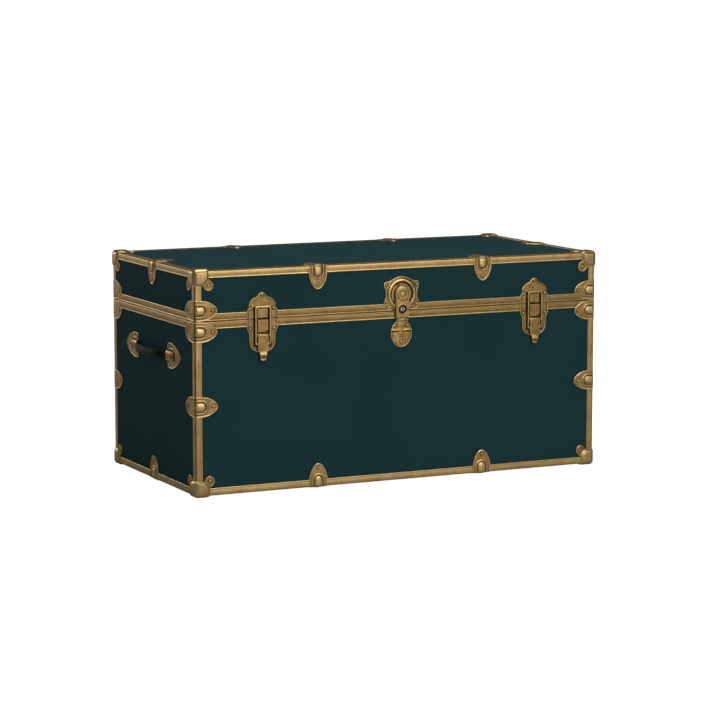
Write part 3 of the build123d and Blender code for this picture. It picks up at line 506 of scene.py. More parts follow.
def brass(name, streaks=None, stipple=0.0, tone=0.5, shade=1.0):
    """Lacquered antique brass: darker in the recesses and where shade is painted, rubbed bright on the high edges and
    where a highlight is painted; shade scales the whole colour for the lit and shaded copies of the same brass, which
    is painted light and shade.
    """
    n = Nodes(name)
    blotch = n.noise(n.mapped((26, 26, 26)), 1.0, 4.0, 0.62)
    fine = n.noise(n.mapped((420, 420, 420)), 1.0, 3.0, 0.6)
    patina = n.noise(n.mapped((95, 95, 95)), 1.0, 4.0, 0.65, 0.6)
    base = n.ramp(blotch, (0.30, lin(154, 122, 74)), (0.52, lin(190, 155, 98)), (0.74, lin(212, 176, 116)))
    base = n.mix(n.ramp(patina, (0.36, (0.55, 0.55, 0.55)), (0.52, (0.0, 0.0, 0.0))), base, lin(142, 98, 52))
    base = n.mix(n.math("MULTIPLY", n.math("SUBTRACT", fine, 0.5), 0.9, clamp=True), base, lin(120, 88, 48))
    rough = n.math("ADD", n.math("MULTIPLY", blotch, 0.20), 0.24 + tone * 0.1)
    normal = None
    if streaks is not None:
        brushed = n.noise(n.mapped(streaks), 1.0, 4.0, 0.75)
        base = n.mix(n.ramp(brushed, (0.35, (0.0, 0.0, 0.0)), (0.72, (0.8, 0.8, 0.8))), base, lin(212, 172, 108))
        base = n.mix(n.ramp(brushed, (0.22, (0.55, 0.55, 0.55)), (0.40, (0.0, 0.0, 0.0))), base, lin(122, 90, 46))
        rough = n.math("ADD", rough, n.math("MULTIPLY", n.math("SUBTRACT", brushed, 0.5), 0.35))
        normal = n.bump(brushed, 0.10, 0.0002)
    if stipple:
        pits = n.noise(n.mapped((1150, 1150, 1150)), 1.0, 2.0, 0.55)
        normal = n.bump(pits, stipple, 0.00035, normal)
        base = n.mix(n.ramp(pits, (0.30, (0.55, 0.55, 0.55)), (0.50, (0.0, 0.0, 0.0))), base, lin(104, 78, 42))
    dirt_and_shade = n.attr("dirt_and_shade")
    wear_and_highlight = n.attr("wear_and_highlight")
    # dark mix: patina in the recesses, plus painted shade and painted shadows given per vertex
    base = n.mix(n.math("MULTIPLY", dirt_and_shade, 0.9, clamp=True), base, lin(44, 30, 14))
    # bright mix: rubbed wear, plus painted highlights given per vertex
    worn_and_lit = n.math("MULTIPLY", n.math("MULTIPLY", wear_and_highlight, n.math("ADD", n.math("MULTIPLY", fine, 0.7), 0.55)), 0.85, clamp=True)
    base = n.mix(worn_and_lit, base, lin(255, 226, 160))
    # painted light and shade: a lit or shaded copy of this brass scales its whole colour
    if shade != 1.0:
        base = n.mix(1.0, base, (shade, shade, shade, 1.0), "MULTIPLY")
    rough = n.math("ADD", rough, n.math("MULTIPLY", dirt_and_shade, 0.25))
    rough = n.math("SUBTRACT", rough, n.math("MULTIPLY", worn_and_lit, 0.10), clamp=True)
    n.set(Base_Color=base, Metallic=1.0, Roughness=rough)
    if normal is not None:
        n.set(Normal=normal)
    return n.mat


def covering():
    """Dark teal vinyl sheet: satin, with a very fine pebble and faint unevenness."""
    n = Nodes("teal_vinyl")
    broad = n.noise(n.mapped((5, 5, 5)), 1.0, 3.0, 0.5)
    pebble_v = n.node("ShaderNodeTexVoronoi", feature="SMOOTH_F1")
    pebble_v.inputs["Scale"].default_value = 1300
    n.link(n.coord, pebble_v.inputs["Vector"])
    pebble = pebble_v.outputs["Distance"]
    fine = n.noise(n.mapped((900, 900, 900)), 1.0, 2.0, 0.5)
    base = n.ramp(broad, (0.35, lin(34, 64, 67)), (0.65, lin(38, 68, 71)))
    base = n.mix(n.math("MULTIPLY", fine, 0.14), base, lin(48, 80, 85))
    rough = n.math("ADD", n.math("MULTIPLY", broad, 0.10), 0.50)
    grain = n.bump(pebble, 0.20, 0.00012)
    wave = n.bump(n.noise(n.mapped((9, 9, 9)), 1.0, 1.0, 0.4), 0.05, 0.004, grain)
    n.set(Base_Color=base, Roughness=rough, Normal=wave, Specular_IOR_Level=0.015)
    return n.mat


def plywood(name, grain, plies):
    """Birch plywood. grain is the axis the face grain runs along; plies is the axis across the veneers, seen at the cut edges."""
    n = Nodes(name)
    scale = [46.0, 46.0, 46.0]
    scale["xyz".index(grain)] = 2.6
    scale["xyz".index(plies)] = 12.0
    rings = n.noise(n.mapped(tuple(scale)), 1.0, 5.0, 0.6, 0.9)
    fibre_scale = [1500.0] * 3
    fibre_scale["xyz".index(grain)] = 28.0
    fibre = n.noise(n.mapped(tuple(fibre_scale)), 1.0, 2.0, 0.5)
    base = n.ramp(rings, (0.30, lin(196, 160, 112)), (0.50, lin(216, 184, 138)), (0.70, lin(228, 200, 158)))
    base = n.mix(n.ramp(fibre, (0.30, (0.55, 0.55, 0.55)), (0.48, (0.0, 0.0, 0.0))), base, lin(176, 138, 92))
    sep = n.node("ShaderNodeSeparateXYZ")
    n.link(n.coord, sep.inputs[0])
    layer = n.math("FRACT", n.math("MULTIPLY", sep.outputs["xyz".index(plies)], 1000 / 3.8))
    normal_in = n.node("ShaderNodeNewGeometry").outputs["Normal"]
    sep_n = n.node("ShaderNodeSeparateXYZ")
    n.link(normal_in, sep_n.inputs[0])
    across = n.math("ABSOLUTE", sep_n.outputs["xyz".index(plies)])
    at_edge = n.math("LESS_THAN", across, 0.5)
    dark_ply = n.math("MULTIPLY", n.math("GREATER_THAN", layer, 0.5), at_edge)
    base = n.mix(n.math("MULTIPLY", dark_ply, 0.55), base, lin(150, 108, 66))
    rough = n.math("ADD", n.math("MULTIPLY", rings, 0.15), 0.42)
    n.set(Base_Color=base, Roughness=rough, Normal=n.bump(fibre, 0.12, 0.0002))
    return n.mat


def leather():
    n = Nodes("strap_leather")
    broad = n.noise(n.mapped((38, 38, 38)), 1.0, 4.0, 0.6)
    cells = n.node("ShaderNodeTexVoronoi", feature="DISTANCE_TO_EDGE")
    cells.inputs["Scale"].default_value = 620
    n.link(n.coord, cells.inputs["Vector"])
    crack = n.ramp(cells.outputs["Distance"], (0.0, (0.0, 0.0, 0.0)), (0.18, (1.0, 1.0, 1.0)))
    fine = n.noise(n.mapped((1700, 1700, 1700)), 1.0, 2.0, 0.6)
    base = n.ramp(broad, (0.30, lin(16, 11, 10)), (0.55, lin(25, 17, 15)), (0.78, lin(36, 25, 21)))
    base = n.mix(n.math("MULTIPLY", n.attr("wear_and_highlight"), 0.6, clamp=True), base, lin(74, 56, 44))
    base = n.mix(n.math("MULTIPLY", n.attr("dirt_and_shade"), 0.8, clamp=True), base, lin(13, 9, 7))
    b = n.bump(crack, 0.35, 0.0003)
    b = n.bump(fine, 0.15, 0.0002, b)
    n.set(Base_Color=base, Roughness=n.math("ADD", n.math("MULTIPLY", broad, 0.2), 0.40), Normal=b, Specular_IOR_Level=0.16)
    return n.mat


def thread():
    n = Nodes("waxed_thread")
    twist = n.noise(n.mapped((2200, 2200, 2200)), 1.0, 2.0, 0.6)
    base = n.ramp(twist, (0.35, lin(46, 36, 28)), (0.65, lin(92, 74, 56)))
    n.set(Base_Color=base, Roughness=0.7, Normal=n.bump(twist, 0.4, 0.0002))
    return n.mat


def plated(name, colour, rough0, scratches=True):
    n = Nodes(name)
    broad = n.noise(n.mapped((60, 60, 60)), 1.0, 4.0, 0.6)
    lines = n.noise(n.mapped((180, 1900, 240)), 1.0, 3.0, 0.7)
    c = lin(*colour)
    d = tuple(v * 0.62 for v in c[:3]) + (1.0,)
    base = n.ramp(broad, (0.28, d), (0.60, c))
    base = n.mix(n.math("MULTIPLY", n.attr("dirt_and_shade"), 0.92, clamp=True), base, lin(16, 13, 10))
    rough = n.math("ADD", n.math("MULTIPLY", broad, 0.16), rough0)
    if scratches:
        rough = n.math("ADD", rough, n.math("MULTIPLY", n.math("SUBTRACT", lines, 0.5), 0.25), clamp=True)
    n.set(Base_Color=base, Metallic=1.0, Roughness=rough, Normal=n.bump(lines, 0.08, 0.0002))
    return n.mat


BRASS_X = brass("antique_brass_along_x", (9, 950, 950))
BRASS_Y = brass("antique_brass_along_y", (950, 9, 950))
# The shade values make dimmed and brightened copies of one brass to suit how each part is lit: the corner uprights,
# rims, draw bolts and the smooth brass are painted shade, and the bottom clamps' brighter copy is painted light from
# below.
BRASS_Z_PAINTED_SHADE = brass("antique_brass_along_z_painted_shade", (950, 950, 9), shade=0.93)
BRASS_RIM_PAINTED_SHADE = brass("antique_brass_rim_painted_shade", (9, 950, 950), shade=0.86)
BRASS = brass("antique_brass_pressed", None, 0.38)
BRASS_BOLT_PAINTED_SHADE = brass("antique_brass_drawbolt_painted_shade", None, 0.38, shade=0.84)
BRASS_LOW_PAINTED_LIGHT = brass("antique_brass_pressed_low_painted_light", None, 0.38, shade=1.16)
BRASS_SMOOTH_PAINTED_SHADE = brass("antique_brass_smooth_painted_shade", (260, 260, 700), 0.12, 0.2, 0.90)
NAIL = brass("antique_brass_nail", None, 0.08, 0.1)
TEAL = covering()
PLY_X = plywood("birch_front_back", "x", "y")
PLY_Y = plywood("birch_sides", "y", "x")
PLY_FLAT = plywood("birch_top_bottom", "x", "z")
LEATHER = leather()
THREAD = thread()
NICKEL = plated("nickel_plate", (226, 221, 212), 0.34)
STEEL = plated("zinc_plated_steel", (176, 172, 160), 0.30)
# near-black insert for the keyway: painted shade standing in for the dark inside the slot
KEYWAY_SHADE = plated("keyway_painted_shade", (18, 15, 12), 0.6, False)


# ------------------------------------------------------------------ carried-over CAD nodes
def dress(name, material, bevel=0.0):
    o = nodes[name]
    o.data.materials.clear()
    o.data.materials.append(material)
    if bevel:
        o.data.polygons.foreach_set("use_smooth", [True] * len(o.data.polygons))
        m = o.modifiers.new("soft_edges", "BEVEL")
        m.width, m.segments, m.limit_method, m.angle_limit = bevel * 0.001, 2, "ANGLE", math.radians(40)
        m.harden_normals = True


for part in ("body", "lid"):
    dress(f"{part}_front_panel", PLY_X)
    dress(f"{part}_back_panel", PLY_X)
    dress(f"{part}_left_panel", PLY_Y)
    dress(f"{part}_right_panel", PLY_Y)
    dress(f"{part}_covering", TEAL)
dress("body_bottom_panel", PLY_FLAT)
dress("lid_top_panel", PLY_FLAT)
for name in ("hinge_body_leaves", "hinge_lid_leaves"):
    dress(name, BRASS_SMOOTH_PAINTED_SHADE, 0.25)
for name in ("hinge_pins", "drawbolt_pivot_pins", "lock_hinge_pin"):
    dress(name, STEEL)
for side in ("left", "right"):
    dress(f"stay_lower_arm_{side}", STEEL, 0.2)
    dress(f"stay_upper_arm_{side}", STEEL, 0.2)
for name in ("stay_body_brackets", "stay_lid_brackets"):
    dress(name, STEEL, 0.2)


# ------------------------------------------------------------------ edge trims
def leg(n=9):
    """Outer surface of one trim leg, from its free edge towards the corner, as (distance from the corner, height), with
    wear, and a painted highlight that lightens the crowned face, most in its middle.
    """
    pts, wear_and_highlight = [(LEG, -0.98), (LEG, -0.55)], [0.1, 0.35]
    for k in range(1, 6):
        a = math.radians(90 * k / 5)
        pts.append((LEG - 0.9 + 0.9 * math.cos(a), -0.55 + 0.85 * math.sin(a)))
        wear_and_highlight.append(0.75)
    pts.append((LEG - 1.7, 0.30))
    wear_and_highlight.append(0.6)
    pts.append((LEG - 2.4, 0.06))
    wear_and_highlight.append(0.0)
    # the crowned face: painted highlight, strongest in the middle
    for k in range(n + 1):
        t = k / n
        a = LEG - 3.0 - t * (LEG - 3.0 - 2.2)
        pts.append((a, 0.06 + 0.40 * math.sin(math.pi * (0.04 + 0.96 * t) * 0.72)))
        wear_and_highlight.append(0.16 + 0.30 * t * (1 - t))
    return pts, wear_and_highlight


def angle_profile():
    pts, wear_and_highlight = leg()
    h0 = pts[-1][1]
    a_side = [(a, -h) for a, h in pts]
    r = 2.2
    corner, cw = [], []
    for k in range(1, 8):
        t = math.radians(90 * k / 8)
        corner.append((r - (r + h0) * math.sin(t), r - (r + h0) * math.cos(t)))
        cw.append(0.25 if k in (1, 7) else 0.0)
    b_side = [(y, x) for x, y in a_side][::-1]
    prof = a_side + corner + b_side + [(0.98, LEG), (0.98, 0.98), (LEG, 0.98)]
    w = wear_and_highlight + cw + wear_and_highlight[::-1] + [0, 0, 0]
    seen, out, ow = set(), [], []
    for q, v in zip(prof, w):
        key = (round(q[0], 3), round(q[1], 3))
        if key not in seen:
            seen.add(key)
            out.append(q)
            ow.append(v)
    return out, ow


PROFILE, PROFILE_WEAR_AND_HIGHLIGHT = angle_profile()
PROFILE_DIRT = [0.85 * (1 - step_up(max(q), 0.9, 1.5)) * (min(q) > -0.6) * (max(q) < 1.6) + 0.35 * bell(max(q), LEG - 2.4, 0.5) for q in PROFILE]


def trim(geo, place, s0, s1, painted_flange_shade=0.0):
    """The last argument darkens the flange that lies flat on the lid with painted shade, and dims its wear by as much.
    """
    flat = [q[0] > 1.2 and q[1] < 0.7 for q in PROFILE]
    wear_and_highlight = [w * (1 - painted_flange_shade * f) for w, f in zip(PROFILE_WEAR_AND_HIGHLIGHT, flat)]
    dirt_and_shade = [min(1.0, d + painted_flange_shade * f) for d, f in zip(PROFILE_DIRT, flat)]
    bar(geo, PROFILE, place, s0, s1, wear_and_highlight, cuts=list(np.arange(s0 + 20, s1 - 1, 40)), dirt_and_shade=dirt_and_shade)


for name, top, node_x, node_y in (("lid_top", True, "lid_top_trim_front_back", "lid_top_trim_sides"), ("bottom", False, "bottom_trim_front_back", "bottom_trim_sides")):
    zs = (lambda b: ZT - b) if top else (lambda b: Z0 + b)
    g = Geo()
    for sy in (-1, 1):
        # painted shade on the flanges lying on the lid: heavy along the back, lighter along the front, none on the
        # bottom trims
        trim(g, lambda a, b, s, sy=sy, zs=zs: np.stack([s, sy * (YO - a), zs(b)], -1), -TRIM_END, TRIM_END, (0.0 if not top else 0.95 if sy > 0 else 0.35))
    make(f"{name}_edge_trims_long", g, "lid" if top else "body", BRASS_X, (node_x,))
    g = Geo()
    ye = YO - (XO - TRIM_END)
    for sx in (-1, 1):
        trim(g, lambda a, b, s, sx=sx, zs=zs: np.stack([sx * (XO - a), s, zs(b)], -1), -ye, ye)
    make(f"{name}_edge_trims_short", g, "lid" if top else "body", BRASS_Y, (node_y,))

for name, body, node in (("body_corner_trims_round", "body", "body_corner_trims"), ("lid_corner_trims_round", "lid", "lid_corner_trims")):
    lo, hi = box_mm(node)
    g = Geo()
    for sx in (-1, 1):
        for sy in (-1, 1):
            trim(g, lambda a, b, s, sx=sx, sy=sy: np.stack([sx * (XO - a), sy * (YO - b), s], -1), lo[2], hi[2])
    make(name, g, body, BRASS_Z_PAINTED_SHADE, (node,))


# ------------------------------------------------------------------ rim trims along the seam
def rim_leg(lid):
    """Closed profile of a rim's outside leg: (height out of the trim plane, distance from the seam edge)."""
    top_end = 15.0
    pts = [(-0.98, top_end), (-0.55, top_end)]
    w = [0, 0.4]
    for k in range(1, 5):
        a = math.radians(90 * k / 4)
        pts.append((-0.55 + 0.85 * math.sin(a), top_end - 0.9 + 0.9 * math.cos(a)))
        w.append(0.8)
    for h, d, v in ((0.30, top_end - 1.6, 0.55), (0.05, top_end - 2.3, 0.0), (0.10, top_end - 3.4, 0.0), (0.19, top_end - 4.8, 0.0), (0.25, top_end - 6.4, 0.0),
                    (0.26, top_end - 7.6, 0.0), (0.22, top_end - 9.0, 0.0), (0.14, 4.6, 0.0), (0.05, 3.4, 0.0), (0.0, 3.0, 0.0)):
        pts.append((h, d))
        w.append(v)
    for k in range(6):          # a fine bead beside the seam
        pts.append((0.0 + 0.40 * math.cos(math.radians(180 * k / 5 - 90)), 2.75 - 1.95 * k / 5))
        w.append(0.35)
    pts += [(-0.35, 0.62), (-0.7, 0.5), (-0.98, 0.45)]
    w += [0, 0, 0]
    return pts[:1] + pts[1:], w


SEAM_DIRT = 0.95


for lid in (False, True):
    part = "lid" if lid else "body"
    s = 1 if lid else -1
    seam = SEAM + s * 0.25
    prof, w = rim_leg(lid)
    # rd: a dark seam joint and a fine line beside the bead, plus painted shade over the band's field that darkens each
    # rim towards its bottom edge
    rd = [SEAM_DIRT * (1 - step_up(d, 0.65, 1.0)) + 0.15 * bell(d, 3.2, 0.4) + (0.12 + 0.38 * (1 - d / 15.0 if lid else d / 15.0)) * (3.0 <= d < 12.8) for h, d in prof]
    inner = YI
    for sy, label in ((-1, "front"), (1, "back")):
        g = Geo()
        bar(g, prof, lambda h, d, t, sy=sy: np.stack([t, sy * (YO + h), seam + s * d], -1), -TRIM_END, TRIM_END, w, cuts=list(np.arange(-TRIM_END + 20, TRIM_END - 1, 40)), dirt_and_shade=rd)
        # flange over the plywood edge
        fl = [(YO - 0.9, 0.0), (inner + 0.3, 0.0), (inner + 0.1, 0.2), (inner + 0.1, 0.96), (YO - 0.9, 0.96)] if lid else \
             [(YO - 0.9, 0.0), (inner - 1.2, 0.0), (inner - 1.2, 0.96), (YO - 0.9, 0.96)]
        bar(g, fl, lambda y, d, t, sy=sy: np.stack([t, sy * y, seam + s * d], -1), -XO + 1.0, XO - 1.0, 0.25, dirt_and_shade=[0.95] + [0.1] * (len(fl) - 2) + [0.95])
        if not lid:
            tongue = [(inner - 0.02, -7.0), (inner - 0.02, -0.5), (inner - 0.42, -0.2), (inner - 0.42, 3.6), (inner - 0.62, 4.1), (inner - 1.1, 4.1), (inner - 1.4, 3.7), (inner - 1.4, -6.8), (inner - 1.2, -7.0)]
            bar(g, tongue, lambda y, d, t, sy=sy: np.stack([t, sy * y, seam + d], -1), -XI + 2, XI - 2, [0, 0, 0.2, 0.8, 0.9, 0.9, 0.8, 0.2, 0])
        make(f"{part}_rim_trim_{label}_rolled", g, part, BRASS_RIM_PAINTED_SHADE, (f"{part}_rim_trim_{label}",))
    g = Geo()
    ye = YO - (XO - TRIM_END)
    for sx in (-1, 1):
        bar(g, prof, lambda h, d, t, sx=sx: np.stack([sx * (XO + h), t, seam + s * d], -1), -ye, ye, w, cuts=list(np.arange(-ye + 20, ye - 1, 40)), dirt_and_shade=rd)
        fl = [(XO - 0.9, 0.0), (XI + 0.3, 0.0), (XI + 0.1, 0.2), (XI + 0.1, 0.96), (XO - 0.9, 0.96)] if lid else \
             [(XO - 0.9, 0.0), (XI - 1.2, 0.0), (XI - 1.2, 0.96), (XO - 0.9, 0.96)]
        ey = YI - 1.6
        bar(g, fl, lambda x, d, t, sx=sx: np.stack([sx * x, t, seam + s * d], -1), -ey, ey, 0.25, dirt_and_shade=[0.95] + [0.1] * (len(fl) - 2) + [0.95])
        if not lid:
            tongue = [(XI - 0.02, -7.0), (XI - 0.02, -0.5), (XI - 0.42, -0.2), (XI - 0.42, 3.6), (XI - 0.62, 4.1), (XI - 1.1, 4.1), (XI - 1.4, 3.7), (XI - 1.4, -6.8), (XI - 1.2, -7.0)]
            bar(g, tongue, lambda x, d, t, sx=sx: np.stack([sx * x, t, seam + d], -1), -YI + 2, YI - 2, [0, 0, 0.2, 0.8, 0.9, 0.9, 0.8, 0.2, 0])
    make(f"{part}_rim_trim_sides_rolled", g, part, BRASS_Y, (f"{part}_rim_trim_sides",))


# ------------------------------------------------------------------ edge clamps
CLAMP_HALF = [(20.7, 0.0), (20.8, 8.0), (20.6, 14.0), (19.8, 21.0), (18.0, 28.0), (15.3, 34.4), (11.5, 40.2), (6.4, 45.4), (0.0, 47.6)]


def clamp_template(end_boss=1.0):
    """end_boss scales the boss on the flange on the end face."""
    half = spline(CLAMP_HALF, 0.95, mirror_end=True)
    v = half[:, 1]
    rows = np.vstack([np.stack([half[::-1][:, 0], -v[::-1]], 1)[:-1], half])
    w, vv = rows[:, 0], rows[:, 1]
    wmax = w.max()
    u = np.linspace(-1, 1, 40)
    edge = np.array([0.3, 0.65, 1.1]) / wmax
    u = np.unique(np.round(np.concatenate([u[np.abs(u) < 1 - 1.4 / wmax], 1 - edge, -1 + edge, [-1, 1]]), 6))
    # more rows round the bend and where the boss ends
    fill = []
    for a, b in zip(rows[:-1], rows[1:]):
        fill.append(a)
        if abs(a[1]) < 4.0:
            fill.append((a + b) / 2)
    fill.append(rows[-1])
    rows = np.array(fill)
    w, vv = rows[:, 0], rows[:, 1]
    x = w[:, None] * u
    vg = np.broadcast_to(vv[:, None], x.shape)
    ring = np.vstack([rows, (rows * [-1, 1])[::-1]])
    d = edge_distance(x, vg, ring)
    av = np.abs(vg)
    r = np.sqrt(x ** 2 + np.maximum(av - 12.6, 0) ** 2)
    side = end_boss + (1 - end_boss) * step_up(vg, -0.9, 0.9)
    dome = np.sqrt(np.clip(1 - (r / 9.3) ** 2, 0, 1)) * side
    h = 1.10 + 1.90 * dome * (0.55 + 0.45 * step_up(av, 0.5, 5.0))
    collar = np.clip(1 - ((r - 12.3) / 1.7) ** 2, 0, 1) ** 0.7 * side
    h = h + 0.80 * collar * step_up(av, -1, 2) - 0.55 * bell(vg, 0.0, 1.5)
    h = h - 0.45 * bell(r, 10.1, 0.7) * side
    h = h + 0.50 * np.clip(1 - ((d - 1.5) / 1.4) ** 2, 0, 1) - 0.20 * bell(d, 3.7, 0.8)
    h = h - 0.25 * bell(np.sqrt(x ** 2 + (av - 37.5) ** 2), 4.0, 0.7)
    h = np.minimum(h, 4.2)
    base = np.where(av > 15.5, -0.97, -0.4)
    h = base + (h - base) * (0.5 + 0.5 * rounded(d, 1.0))
    wear_and_highlight = np.clip(1.0 * bell(d, 1.3, 1.1) + 0.5 * collar + 0.65 * dome ** 2, 0, 1)
    dirt_and_shade = np.clip(0.95 * bell(vg, 0.0, 1.0) + 1.0 * bell(r, 10.1, 0.8) * side + 0.35 * bell(d, 3.5, 0.9) + 0.6 * bell(np.sqrt(x ** 2 + (av - 37.5) ** 2), 3.9, 0.9) + 0.40 * bell(r, 14.6, 0.8) * side, 0, 1)
    # bend the flat pattern over the edge: (in across the face, out of the front face, out of the top face)
    r0 = 1.8
    arc = r0 * math.pi / 2

    def bend(hh):
        phi = (np.clip(vg, -arc / 2, arc / 2) / arc + 0.5) * (math.pi / 2)
        py = r0 - (r0 + hh) * np.cos(phi)
        pz = -r0 + (r0 + hh) * np.sin(phi)
        over = np.maximum(vg - arc / 2, 0)
        down = np.maximum(-vg - arc / 2, 0)
        py = np.where(vg > arc / 2, r0 + over, py)
        pz = np.where(vg > arc / 2, hh, pz)
        pz = np.where(vg < -arc / 2, -r0 - down, pz)
        py = np.where(vg < -arc / 2, -hh, py)
        return np.stack([x, py, pz], -1)

    g = Geo()
    g.grid(bend(h), bend(base), wear_and_highlight, dirt_and_shade)
    return g


TEMPLATE, TEMPLATE_CORNER = clamp_template(), clamp_template(0.15)


def solids_centres(name):
    """Centre of each separate solid of a CAD node, in mm."""
    me = nodes[name].data
    bm = bmesh.new()
    bm.from_mesh(me)
    bmesh.ops.remove_doubles(bm, verts=bm.verts, dist=1e-6)
    todo = set(bm.verts)
    out = []
    while todo:
        seed = todo.pop()
        group, stack = [seed], [seed]
        while stack:
            for e in stack.pop().link_edges:
                for v in e.verts:
                    if v in todo:
                        todo.discard(v)
                        group.append(v)
                        stack.append(v)
        co = np.array([v.co for v in group]) * 1000
        out.append((co.min(0), co.max(0)))
    bm.free()
    return out


def edge_map(kind, sx, sy, along):
    """From the clamp's own axes (along the edge, inwards from face one, outwards from face two) to the trunk."""
    if kind == "top_x":
        return lambda p: np.stack([along + p[:, 0], sy * (YO - p[:, 1]), ZT + p[:, 2]], 1)
    if kind == "bottom_x":
        return lambda p: np.stack([along + p[:, 0], sy * (YO - p[:, 1]), Z0 - p[:, 2]], 1)
    if kind == "top_y":
        return lambda p: np.stack([sx * (XO - p[:, 1]), along + p[:, 0], ZT + p[:, 2]], 1)
    if kind == "bottom_y":
        return lambda p: np.stack([sx * (XO - p[:, 1]), along + p[:, 0], Z0 - p[:, 2]], 1)
    return lambda p: np.stack([sx * (XO - p[:, 1]), sy * (YO + p[:, 2]), along + p[:, 0]], 1)


def clamp_group(name, node, body):
    g = Geo()
    for lo, hi in solids_centres(node):
        c, size = (lo + hi) / 2, hi - lo
        if node in ("lid_top_edge_clamps", "bottom_edge_clamps"):
            face = "top" if "top" in node else "bottom"
            axis = "x" if abs(c[1]) > abs(c[0]) * 0.3 and abs(c[0]) < XO * 0.8 else "y"
            m = edge_map(f"{face}_{axis}", np.sign(c[0]), np.sign(c[1]), c[0] if axis == "x" else c[1])
        else:
            m = edge_map("z", np.sign(c[0]), np.sign(c[1]), c[2])
        low = node == "bottom_edge_clamps"      # the flange underneath stays clear of the floor
        g.merge((TEMPLATE_CORNER if "corner" in node else TEMPLATE).copy_mapped(lambda p, m=m, low=low: m(np.stack([p[:, 0], p[:, 1], np.minimum(p[:, 2], 3.3)], 1) if low else p)))
    make(name, g, body, BRASS_LOW_PAINTED_LIGHT if node == "bottom_edge_clamps" else BRASS, (node,), sharp=50)


clamp_group("lid_top_edge_clamps_pressed", "lid_top_edge_clamps", "lid")
clamp_group("bottom_edge_clamps_pressed", "bottom_edge_clamps", "body")
clamp_group("lid_corner_clamps_pressed", "lid_corner_clamps", "lid")
clamp_group("body_upper_corner_clamps_pressed", "body_upper_corner_clamps", "body")
clamp_group("body_middle_corner_clamps_pressed", "body_middle_corner_clamps", "body")


# ------------------------------------------------------------------ corner caps
CAP_L, CAP_ROUND, EAR_C, EAR_R = 29.6, 14.6, 29.2, 10.8


def cap_template():
    """Cushioned cap on a corner, as distances inwards from the three trim planes."""
    g = Geo()
    H, R, L = 3.45, 8.0, CAP_L
    n = 38
    t = np.concatenate([np.linspace(-H, L - 2.2, n), L - np.array([1.7, 1.2, 0.8, 0.45, 0.15, 0.0])])
    b, c = np.meshgrid(t, t, indexing="ij")
    m = (L - CAP_ROUND) / L
    for axis in range(3):
        p = np.empty(b.shape + (3,))
        p[..., axis] = -H
        p[..., (axis + 1) % 3] = b
        p[..., (axis + 2) % 3] = c
        inner = np.maximum(p, -H + R)
        dv = p - inner
        length = np.linalg.norm(dv, axis=-1, keepdims=True)
        q = inner + R * dv / np.maximum(length, 1e-9)
        top = p.max(-1)
        e = L - top
        pb, pc = np.maximum(b, 0), np.maximum(c, 0)
        slope = np.minimum(pb, pc) / np.maximum(np.maximum(pb, pc), 1e-9)
        f = 0.40 + 0.60 * step_up(e / (4.5 + 4.0 * slope ** 3), 0.0, 1.0)      # falls away gently towards the lug
        f = f * (0.35 + 0.65 * rounded(e, 1.1))
        cushion = np.clip(1 - ((b - 12.5) / 15.5) ** 2, 0, 1) * np.clip(1 - ((c - 12.5) / 15.5) ** 2, 0, 1)
        f = f + 0.16 * cushion
        # draw the free corner in to a radius
        big, small = np.maximum(pb, pc), np.minimum(pb, pc)
        k = small / np.maximum(big, 1e-9)
        disc = np.clip((m * (1 + k)) ** 2 - (1 + k * k) * (2 * m * m - (1 - m) ** 2), 0, None)
        kk = np.where(k > m, (m * (1 + k) + np.sqrt(disc)) / (1 + k * k), 1.0)
        s = 1 - (1 - kk) * (big / L) ** 2.5
        outer = np.where(q < 0, q * f[..., None], q * s[..., None])
        base = np.where(q < 0.9, 0.9, q * s[..., None])
        spread = 1 - np.abs(dv).max(-1) / np.maximum(length[..., 0], 1e-9)
        wear_and_highlight = np.clip(0.30 + 1.1 * spread + 0.8 * bell(e, 1.2, 0.9) * (1 - 0.7 * slope ** 2), 0, 1)
        dirt_and_shade = np.clip(0.35 * bell(e, 2.6, 1.0) * (1 - 0.8 * slope ** 2) + 0.35 * bell(np.minimum(b, c), -H + R + 0.8, 0.8), 0, 1)
        g.grid(outer, base, wear_and_highlight, dirt_and_shade)
    return g


def ear_template():
    """Rounded lug on one face, along its diagonal: columns are the two in-face distances and the height."""
    g = Geo()
    rt2 = math.sqrt(2)
    tc = EAR_C * rt2
    ctrl = [(8.8, 17.0), (8.7, 24.0), (9.1, 31.0), (10.3, 37.0)]
    arc = [(EAR_R * math.cos(math.radians(a)), tc + EAR_R * math.sin(math.radians(a))) for a in (0, 15, 30, 45, 60, 75, 90)]
    outline = spline(ctrl + arc, 0.8, mirror_end=True)

    def top(x, z, d):
        r = np.sqrt(x ** 2 + (z - tc) ** 2)
        return 1.45 + 0.35 * bell(d, 1.5, 0.7) - 0.2 * bell(d, 3.0, 0.8) - 0.2 * bell(r, 4.1, 0.7)

    def place(x, z, h):
        return np.stack([(z + x) / rt2, (z - x) / rt2, h], -1)

    stamp(g, outline, place, top, -0.97, 0.85, (True, False),
          wear_and_highlight=lambda x, z, d, h: 0.85 * bell(d, 1.1, 0.8),
          dirt_and_shade=lambda x, z, d, h: np.clip(0.45 * bell(d, 3.1, 0.9) + 0.6 * bell(np.sqrt(x ** 2 + (z - tc) ** 2), 4.1, 0.8), 0, 1))
    return g


CAP, EAR = cap_template(), ear_template()


